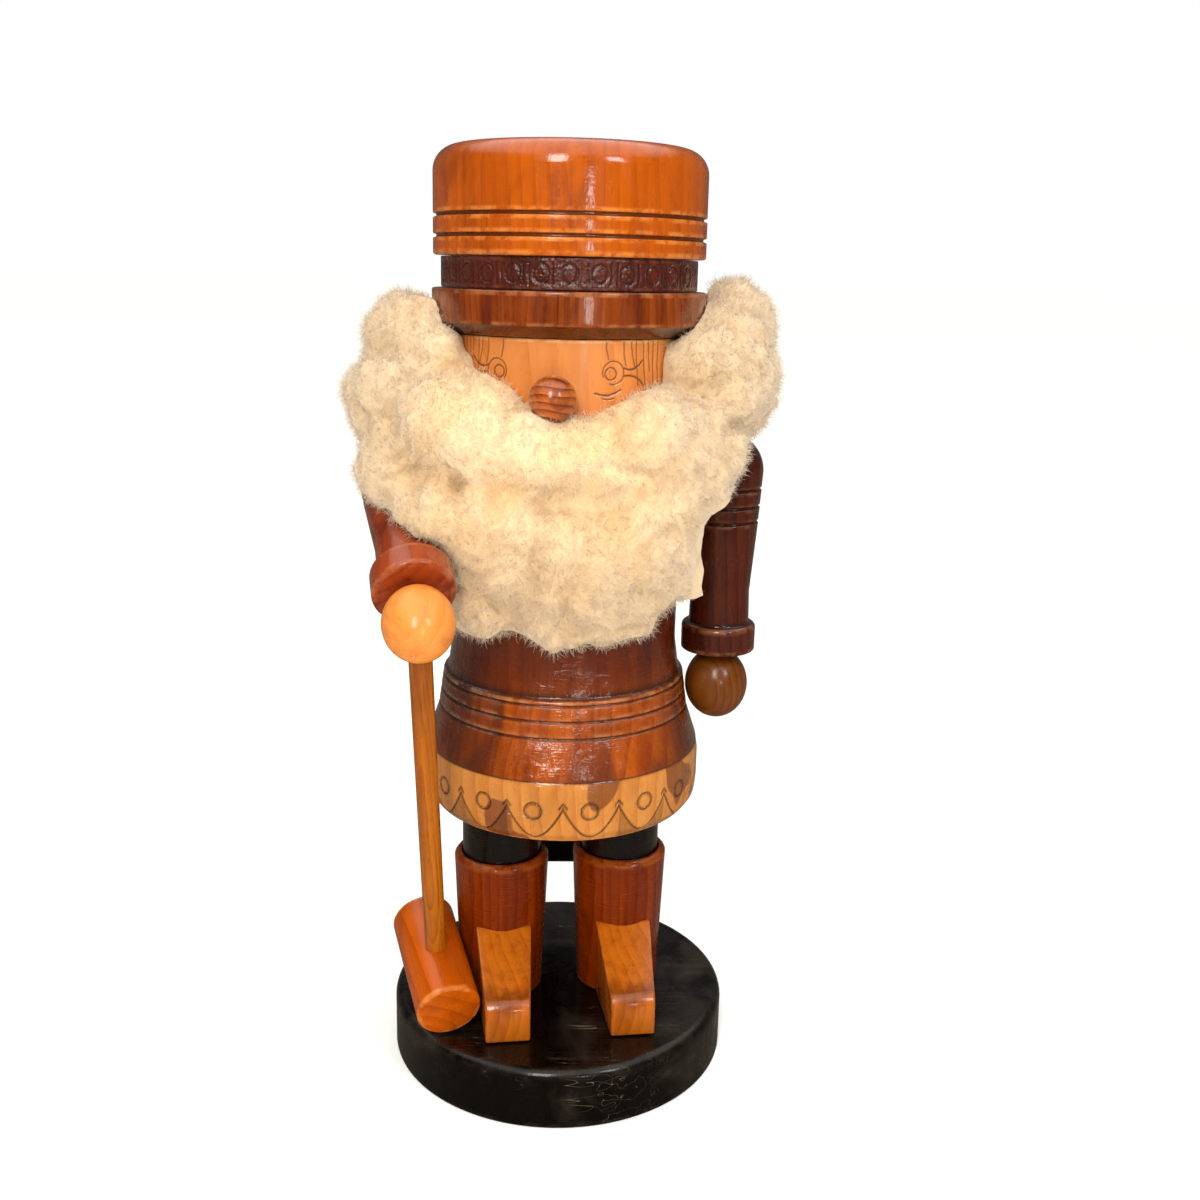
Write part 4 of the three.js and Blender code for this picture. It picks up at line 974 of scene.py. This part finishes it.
def arms_and_hands():
    """The same turned arm twice, in two stains, each with an egg-shaped hand."""
    length, cuff, shoulder = ARM_LENGTH, CUFF_RADIUS, ARM_RADIUS
    cuff_height, wrist = 9.6, 10.1
    narrowest, widest, grooves = -42, -20, (17, 11.7, 5.7)
    half_groove, glue_line = GROOVE_WIDTH / 2, 0.3
    gloss = dict(gloss=0.22, lacquer_gloss=0.07, orange_peel=0.07)
    sleeves = {
        "left": wood("sleeve_left", (76, 30, 16), (44, 16, 9), (24, 9, 6), growth=3.5, streaks=0.6,
                     mottle=0.4, finish=dict(worn=srgb(140, 86, 56), **gloss)),
        "right": wood("sleeve_right", (150, 62, 26), (104, 38, 18), (52, 18, 11), growth=3.5,
                      streaks=0.6, mottle=0.7, seed=4, finish=dict(worn=srgb(176, 112, 74), **gloss)),
    }
    hands = {
        "left": wood("hand_left_wood", (110, 60, 18), (76, 36, 8), (42, 20, 6), growth=2.4, heart=(10, 4),
                     streaks=0.5, mottle=0.3,
                     finish=dict(gloss=0.34, lacquer=0.5, lacquer_gloss=0.16, relief=0.03)),
        "right": wood("hand_right_wood", (228, 140, 64), (200, 106, 40), (128, 60, 24), growth=6,
                      heart=(16, 10), figure=0.35, streaks=0.35, mottle=0.8, seed=2,
                      finish=dict(gloss=0.36, lacquer=0.5, lacquer_gloss=0.18, relief=0.02)),
    }
    for side, (origin, across, up) in arm_frames().items():
        place = placed(origin, across, up)
        corners = [(0, -length, 0), (cuff, -length, 0.8), (cuff, cuff_height - length, 1.5),
                   (wrist + 0.4, cuff_height - length + 0.3, 0.5), (wrist + 0.1, narrowest, 20),
                   (shoulder - 1.2, widest, 12)]
        for below in grooves:
            radius = shoulder - below / grooves[0]
            corners += [(radius, -below - half_groove, 0.3), (radius - GROOVE_DEPTH, -below, 0.2),
                        (radius, -below + half_groove, 0.3)]
        outline = [tuple(p) + (0,) for p in outline_of(corners + [(shoulder, 0, 0)], 1.6)]
        for k in range(1, 19):
            angle = math.pi / 2 * k / 18
            outline.append((shoulder * math.cos(angle) if k < 18 else 0.0, shoulder * math.sin(angle), 0))
        arm = turned(f"sleeve_turned_{side}", outline_of(outline, 1.6), 128, place)
        finish_piece(arm, f"arm_{side}", "sleeve_stain", sleeves[side], f"arm_{side}")
        radius, half = HAND_RADIUS, HAND_HALF_LENGTH
        centre = -(length + glue_line + half)
        egg = [(radius * math.cos(a) if abs(a) < 1.57 else 0.0, centre + half * math.sin(a), 0)
               for a in np.linspace(-math.pi / 2, math.pi / 2, 61)]
        hand = turned(f"hand_turned_{side}", outline_of(egg, 1.0), 96, place)
        finish_piece(hand, f"arm_{side}", f"hand_{side}_wood", hands[side], f"hand_{side}")


def mallet():
    """The mallet's head lies across its handle, which stands up to the right hand."""
    handle_low, handle_high = span("mallet_handle")
    head_middle = middle("mallet_head")
    grip = middle("hand_right")
    up = unit(grip - (handle_low + handle_high) / 2)
    heading = math.radians(16)
    front = np.array([math.sin(heading), -math.cos(heading), 0])
    front = unit(front - up * (front @ up))
    side = np.cross(-front, up)
    length, radius, face = 44.0, 11.0, 20.0
    half = length / 2
    place = placed(head_middle, side, front)
    corners = [(0, -half, 0), (radius, -half, 0.9), (radius, half, 0.9), (0, half, 0)]
    head_piece = turned("mallet_head_turned", outline_of(corners, 0.9), 144, place)
    head_stain = wood("mallet_head_stain", (190, 86, 3), (150, 60, 2), (100, 38, 3), growth=5, heart=(9, 16),
                      streaks=0.45, mottle=0.35,
                      finish=dict(worn=srgb(222, 142, 72), gloss=0.24, lacquer=0.6, lacquer_gloss=0.1,
                                  orange_peel=0.04, specular=0.1, lathe=0.06))
    finish_piece(head_piece, "arm_right", "mallet_head_stain", head_stain, "mallet_head")

    along_axis = length / 2 - face
    foot = head_middle + front * along_axis
    drop = np.linalg.norm(grip - foot)
    handle_radius = 3.65
    into_head, below_grip = drop + 5, -1
    corners = [(0, -into_head, 0), (handle_radius, -into_head, 0.3), (handle_radius, -drop / 2, 0),
               (handle_radius, below_grip, 0.3), (0, below_grip, 0)]
    handle = turned("mallet_handle_turned", outline_of(corners, 2.0), 64, placed(grip, side, up))
    handle_wood = wood("mallet_handle_wood", (176, 98, 18), (136, 68, 10), (66, 30, 6), growth=1.1,
                       heart=(9, 2), streaks=0.8, mottle=0.2,
                       finish=dict(gloss=0.3, lacquer=0.7, lacquer_gloss=0.14, relief=0.06,
                                   orange_peel=0.02))
    finish_piece(handle, "arm_right", "mallet_handle_wood", handle_wood, "mallet_handle")


# ---------------------------------------------------------------- dowels, pin and screws


def small_parts():
    """The dowels, pin and screws keep their CAD shapes and get their materials here."""
    dowel = wood("dowel_wood", (206, 164, 108), (182, 138, 84), (140, 98, 56), growth=1.6, heart=(4, 2),
                 finish=dict(gloss=0.5, lacquer=0.1, relief=0.05))
    material, tree, steel = new_material("screw_steel")
    brushed = spotted(tree, space(tree, (1, 1, 6)), 1.2, 3.0, 0.6)
    tree.links.new(mixed(tree, between(tree, brushed, 0.35, 0.7), srgb(150, 148, 142), srgb(196, 194, 188)),
                   steel.inputs["Base Color"])
    tree.links.new(between(tree, brushed, 0.3, 0.7, 0.28, 0.5), steel.inputs["Roughness"])
    bump = put(tree, "Bump", {"Height": brushed, "Strength": 0.6, "Distance": 0.03 * MM})
    tree.links.new(bump.outputs[0], steel.inputs["Normal"])
    tune(steel, {"Metallic": 1.0})
    for name, node in frame["nodes"].items():
        if node.hide_render:
            continue
        node.data.materials.clear()
        is_steel = "screw" in name or "pin" in name
        node.data.materials.append(material if is_steel else dowel)


# ---------------------------------------------------------------- fleece

FIBRE_PIECES = 4
FIBRES_IN_PIECE = 12000
FIBRE_LENGTH = 4.6
FIBRE_RADIUS = 0.09
FIBRE_JOINTS = 3
# Puffs at three sizes: how wide, how high and how twisted they are
PUFFS = ((24.0, 3.2, 0.5), (11.0, 1.4, 0.5), (5.0, 0.35, 0.4))
# Tufts: centre (aside, forward, above the coat's top) and half sizes
TUFTS = [
    ((-50, 6, 28), (16, 22, 18)),
    ((-42, 19, 21), (13, 16, 15)),
    ((42, 17, 25), (12, 16, 15)),
    ((33, 41, -17), (9, 9, 12)),
    ((-55, 12, 12), (17, 24, 20)),
    ((-54, 28, -8), (14, 15, 17)),
    ((-34, 34, 6), (20, 20, 16.5)),
    ((-5, 41, -1), (28, 17, 13)),
    ((26, 34, 3), (20, 20, 16)),
    ((51, 8, 23), (18, 25, 24)),
    ((54, 0, 36), (14, 21, 15)),
    ((43, 30, -4), (13, 14, 18)),
    ((-21, 35, -28), (20, 17, 26)),
    ((2, 36, -36), (24, 18, 27)),
    ((24, 35, -29), (18, 17, 26)),
    ((37, 30, -40), (11, 10, 11)),
    ((4, 37, -54), (26, 11, 11)),
    ((-25, 34, -51), (12, 11, 10)),
    ((-42, 41, -21), (12, 12, 12)),
]


def ball(centre, sizes, columns=48, rows=28):
    """Points and faces of an ellipsoid."""
    angles = np.arange(columns) * 2 * math.pi / columns
    points = [(0, 0, -1)]
    for k in range(1, rows):
        a = -math.pi / 2 + math.pi * k / rows
        points += [(math.cos(a) * math.cos(b), math.cos(a) * math.sin(b), math.sin(a)) for b in angles]
    points.append((0, 0, 1))
    faces = []
    for j in range(columns):
        n = (j + 1) % columns
        faces.append([0, 1 + n, 1 + j])
        for k in range(rows - 2):
            a = 1 + k * columns
            faces.append([a + j, a + n, a + columns + n, a + columns + j])
        a = 1 + (rows - 2) * columns
        faces.append([a + j, a + n, len(points) - 1])
    return np.array(points) * np.array(sizes) + np.array(centre), faces


def merged(name, shapes):
    points, faces, offset = [], [], 0
    for shape_points, shape_faces in shapes:
        points.append(shape_points)
        faces += [[i + offset for i in face] for face in shape_faces]
        offset += len(shape_points)
    return mesh_object(name, np.vstack(points), faces)


def remeshed(made, voxel):
    tool = made.modifiers.new("remesh", "REMESH")
    tool.mode = "VOXEL"
    tool.voxel_size = voxel * MM
    apply_modifiers(made)


def raised_arm(side, across, up):
    """Directions up the arm at each swing the fleece must leave room for: the whole swing of the
    left arm, and only the rest pose of the right arm."""
    most = JOINTS["shoulder_left"]["range_deg"][1] if side == "left" else 0
    return [up * math.cos(swing) + np.cross(up, across) * math.sin(swing)
            for swing in np.radians(np.arange(0, most + 1, 10))]


def room_beside_left_arm(points):
    """How far each point is from the space that the left arm swings through."""
    origin, across, up = arm_frames()["left"]
    nearest = np.full(len(points), 1e9)
    for raised in raised_arm("left", across, up):
        from_shoulder = points - origin
        down = np.clip(-from_shoulder @ raised, 0, ARM_LENGTH + HAND_HALF_LENGTH + 4.3)
        nearest = np.minimum(nearest, np.linalg.norm(from_shoulder + down[:, None] * raised, axis=1))
    return nearest - ARM_RADIUS - 0.2


def fleece_spacers():
    """Closed solids of the wood the fleece lies against, each a little larger."""
    gap = 0.5
    low, high = span("coat")
    coat_top = high[2]
    head_top = span("head")[1][2]
    brim_low, brim_high = span("hat_brim")
    over_hat = span("hat_crown")[1][2] + 20
    coat_side, head_side, brim = SHOULDER_RADIUS + gap, HEAD_RADIUS + gap, brim_high[0] + HAT_SKIN + gap
    corners = [(0, low[2], 0), (coat_side, low[2], 0), (coat_side, coat_top + gap, 0),
               (head_side, coat_top + gap + 0.1, 0), (head_side, head_top - 1, 0),
               (brim - BRIM_CHAMFER, head_top - gap, 0), (brim, brim_low[2] + BRIM_CHAMFER_HEIGHT - gap, 0),
               (brim, over_hat, 0), (0, over_hat, 0)]
    spacers = [turned("backing_space", outline_of(corners, 3.0), 96)]
    nose_low, nose_high = span("nose")
    radius = (nose_high[2] - nose_low[2]) / 2
    centre = (nose_low[0] + radius, nose_low[1] + radius, nose_low[2] + radius)
    spacers.append(merged("nose_space", [ball(centre, [radius + gap] * 3, 32, 20)]))
    for side, (origin, across, up) in arm_frames().items():
        wide = ARM_RADIUS + gap
        outline = [(0, -80, 0), (11.5, -76, 0), (13.5, -64, 0), (13.5, -52, 0), (11, -50, 0),
                   (12.6, -20, 0), (wide, 0, 0)]
        outline += [(wide * math.cos(a) if a < 1.57 else 0.0, wide * math.sin(a), 0)
                    for a in np.linspace(0.1, math.pi / 2, 12)]
        for raised in raised_arm(side, across, up):
            spacers.append(turned(f"arm_space_{side}", outline_of(outline, 3.0), 64,
                                  placed(origin, across, raised)))
    return spacers


def puffed(made):
    """Swells the surface into soft puffs at several sizes and returns how hollow each point is."""
    shift, usual_height = 31.0, 0.55
    noise.seed_set(5)
    mesh = made.data
    count = len(mesh.vertices)
    hollow = np.zeros(count)
    for size, height, warp in PUFFS:
        co, normal = np.zeros(count * 3), np.zeros(count * 3)
        mesh.vertices.foreach_get("co", co)
        mesh.vertices.foreach_get("normal", normal)
        co, normal = co.reshape(-1, 3) / MM, normal.reshape(-1, 3)
        swell = np.zeros(count)
        for i, p in enumerate(co):
            q = Vector(p + shift) / size
            q = q + noise.noise_vector(q * 0.8) * warp
            swell[i] = noise.noise(q)
        puff = np.sqrt(swell ** 2 + 0.004) * 2.4
        moved = (np.minimum(puff, 1.0) - usual_height) * height
        hollow += np.clip(-moved, 0, None)
        mesh.vertices.foreach_set("co", ((co + normal * moved[:, None]) * MM).astype(np.float32).reshape(-1))
        mesh.update()
    return hollow


def greyed(tree, colour):
    """Fleece is greyer at its sides, as painted shade, and greyer towards its bottom than in the middle."""
    parts = put(tree, "SeparateXYZ", {0: space(tree)})
    # Painted shade: greyer towards the left and right sides.
    side = calc(tree, "ABSOLUTE", calc(tree, "ADD", parts.outputs["X"], 6.0))
    colour = mixed(tree, between(tree, side, 16.0, 56.0, 0, 0.7), colour, srgb(200, 176, 144))
    coat_top = span("coat")[1][2]
    # Greyer towards the bottom, below the coat's top.
    below = between(tree, parts.outputs["Z"], coat_top - 8, coat_top - 52, 0, 0.8)
    return mixed(tree, below, colour, srgb(196, 168, 132))


def wool_scatter(surface):
    """Light that goes into wool comes out again nearby, and the fuzz catches some of it."""
    tune(surface, {"Sheen Weight": 0.3, "Sheen Roughness": 0.7, "Sheen Tint": (1, 0.94, 0.84, 1),
                   "Subsurface Weight": 0.4, "Subsurface Radius": (0.006, 0.005, 0.0038),
                   "Subsurface Scale": 1.0})


def fleece_stain_and_shade():
    material, tree, surface = new_material("fleece")
    whole = space(tree)
    soft = spotted(tree, whole, 24.0, 2.0)
    locks = spotted(tree, whole, 7.0, 3.0, 0.6, 2.0)
    curl = spotted(tree, whole, 1.3, 4.0, 0.65, 2.5)
    colour = mixed(tree, between(tree, soft, 0.38, 0.64), srgb(236, 209, 168), srgb(236, 199, 144))
    colour = mixed(tree, between(tree, locks, 0.45, 0.75, 0, 0.35), colour, srgb(220, 190, 146))
    colour = greyed(tree, colour)
    # Painted shade in the creases, where the puffs left the surface pushed in.
    crease_shade = between(tree, attribute(tree, "hollow"), 0.3, 2.6, 0, 0.4)
    colour = mixed(tree, crease_shade, colour, srgb(214, 176, 120))
    tree.links.new(colour, surface.inputs["Base Color"])
    tune(surface, {"Roughness": 1.0, "Specular IOR Level": 0.05})
    wool_scatter(surface)
    bump = put(tree, "Bump", {"Height": curl, "Strength": 0.5, "Distance": 0.25 * MM})
    tree.links.new(bump.outputs[0], surface.inputs["Normal"])
    return material


def fibre_stain_and_shade():
    material, tree, surface = new_material("fleece_fibre")
    locks = spotted(tree, space(tree), 6.0, 3.0, 0.6, 1.0)
    strands = spotted(tree, space(tree), 0.8, 2.0)
    colour = mixed(tree, between(tree, locks, 0.36, 0.66), srgb(244, 220, 182), srgb(242, 210, 160))
    colour = mixed(tree, between(tree, strands, 0.5, 0.75, 0, 0.3), colour, srgb(230, 200, 156))
    colour = greyed(tree, colour)
    tree.links.new(colour, surface.inputs["Base Color"])
    tree.links.new(between(tree, strands, 0.3, 0.7, 0.7, 1.0), surface.inputs["Roughness"])
    tune(surface, {"Specular IOR Level": 0.1})
    wool_scatter(surface)
    return material


def fibres(name, roots, normals, random):
    """Curled single hairs: thin three-sided tubes that taper to a point."""
    count, joints = len(roots), FIBRE_JOINTS
    directions = normals * 0.6 + random.normal(0, 0.6, (count, 3))
    directions /= np.linalg.norm(directions, axis=1)[:, None]
    lengths = random.uniform(0.55, 1.0, count) * FIBRE_LENGTH
    lengths = np.clip(lengths, 0.2, np.maximum(room_beside_left_arm(roots), 0.2))[:, None]
    position = roots - normals * 0.6
    rings = []
    for k in range(joints):
        rings.append((position.copy(), directions.copy()))
        position = position + directions * lengths / joints
        directions = directions + random.normal(0, 0.6, (count, 3)) + normals * 0.05
        directions /= np.linalg.norm(directions, axis=1)[:, None]
    points = np.zeros((count, joints * 3 + 1, 3))
    helper = np.cross(normals, [0.3, 0.5, 0.81])
    helper /= np.linalg.norm(helper, axis=1)[:, None]
    for k, (middle_of_ring, direction) in enumerate(rings):
        first = np.cross(direction, helper)
        first /= np.linalg.norm(first, axis=1)[:, None] + 1e-9
        second = np.cross(direction, first)
        radius = FIBRE_RADIUS * (1 - 0.75 * k / joints)
        for j in range(3):
            a = 2 * math.pi * j / 3
            points[:, k * 3 + j] = middle_of_ring + radius * (math.cos(a) * first + math.sin(a) * second)
    points[:, -1] = position
    base_faces = [[2, 1, 0]]
    for k in range(joints - 1):
        for j in range(3):
            a, b = k * 3 + j, k * 3 + (j + 1) % 3
            base_faces.append([a, b, b + 3, a + 3])
    last = (joints - 1) * 3
    base_faces += [[last + j, last + (j + 1) % 3, joints * 3] for j in range(3)]
    faces = []
    for i in range(count):
        offset = i * (joints * 3 + 1)
        faces += [[v + offset for v in face] for face in base_faces]
    return mesh_object(name, points.reshape(-1, 3), faces)


def drape(made, material):
    """Gives a fleece piece its material, hides the CAD beard and bakes its place into its mesh."""
    made.data.materials.clear()
    made.data.materials.append(material)
    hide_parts("beard")
    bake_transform(made)


def fleece():
    """Tufts melted into one skin, swollen into puffs and cut clear of the wood."""
    coat_top = span("coat")[1][2]
    shapes = [ball((x, -y, coat_top + z), sizes) for (x, y, z), sizes in TUFTS]
    made = merged("fleece_beard", shapes)
    remeshed(made, 2.0)
    smooth = made.modifiers.new("smooth", "SMOOTH")
    smooth.iterations = 14
    finer = made.modifiers.new("finer", "SUBSURF")
    finer.levels = 1
    apply_modifiers(made)
    set_attribute(made, "hollow", puffed(made))
    for cutter in fleece_spacers():
        cut_away(made, cutter)
    made.data.polygons.foreach_set("use_smooth", np.ones(len(made.data.polygons), bool))
    drape(made, fleece_stain_and_shade())
    return made


def fleece_fibres(made):
    """Single hairs all over the fleece, but not on its back, which lies on the coat and head."""
    random = np.random.default_rng(11)
    mesh = made.data
    count = len(mesh.polygons)
    centres, normals, areas = np.zeros(count * 3), np.zeros(count * 3), np.zeros(count)
    mesh.polygons.foreach_get("center", centres)
    mesh.polygons.foreach_get("normal", normals)
    mesh.polygons.foreach_get("area", areas)
    centres, normals = centres.reshape(-1, 3) / MM, normals.reshape(-1, 3)
    radial = np.hypot(centres[:, 0], centres[:, 1])
    outward = (centres[:, 0] * normals[:, 0] + centres[:, 1] * normals[:, 1]) / np.maximum(radial, 1)
    backing = 47.5
    outer = ~((radial < backing) & (outward < -0.2))
    share = areas * outer
    hair = fibre_stain_and_shade()
    for part in range(FIBRE_PIECES):
        chosen = random.choice(count, FIBRES_IN_PIECE, p=share / share.sum())
        roots = centres[chosen] + random.normal(0, 0.4, (FIBRES_IN_PIECE, 3))
        tufts = fibres(f"fleece_fibres_{part + 1}", roots, normals[chosen], random)
        drape(tufts, hair)


make_camera()
make_studio()
base()
boots_and_legs()
feet()
coat()
lever()
head()
nose()
hat()
arms_and_hands()
mallet()
wool = fleece()
fleece_fibres(wool)
small_parts()

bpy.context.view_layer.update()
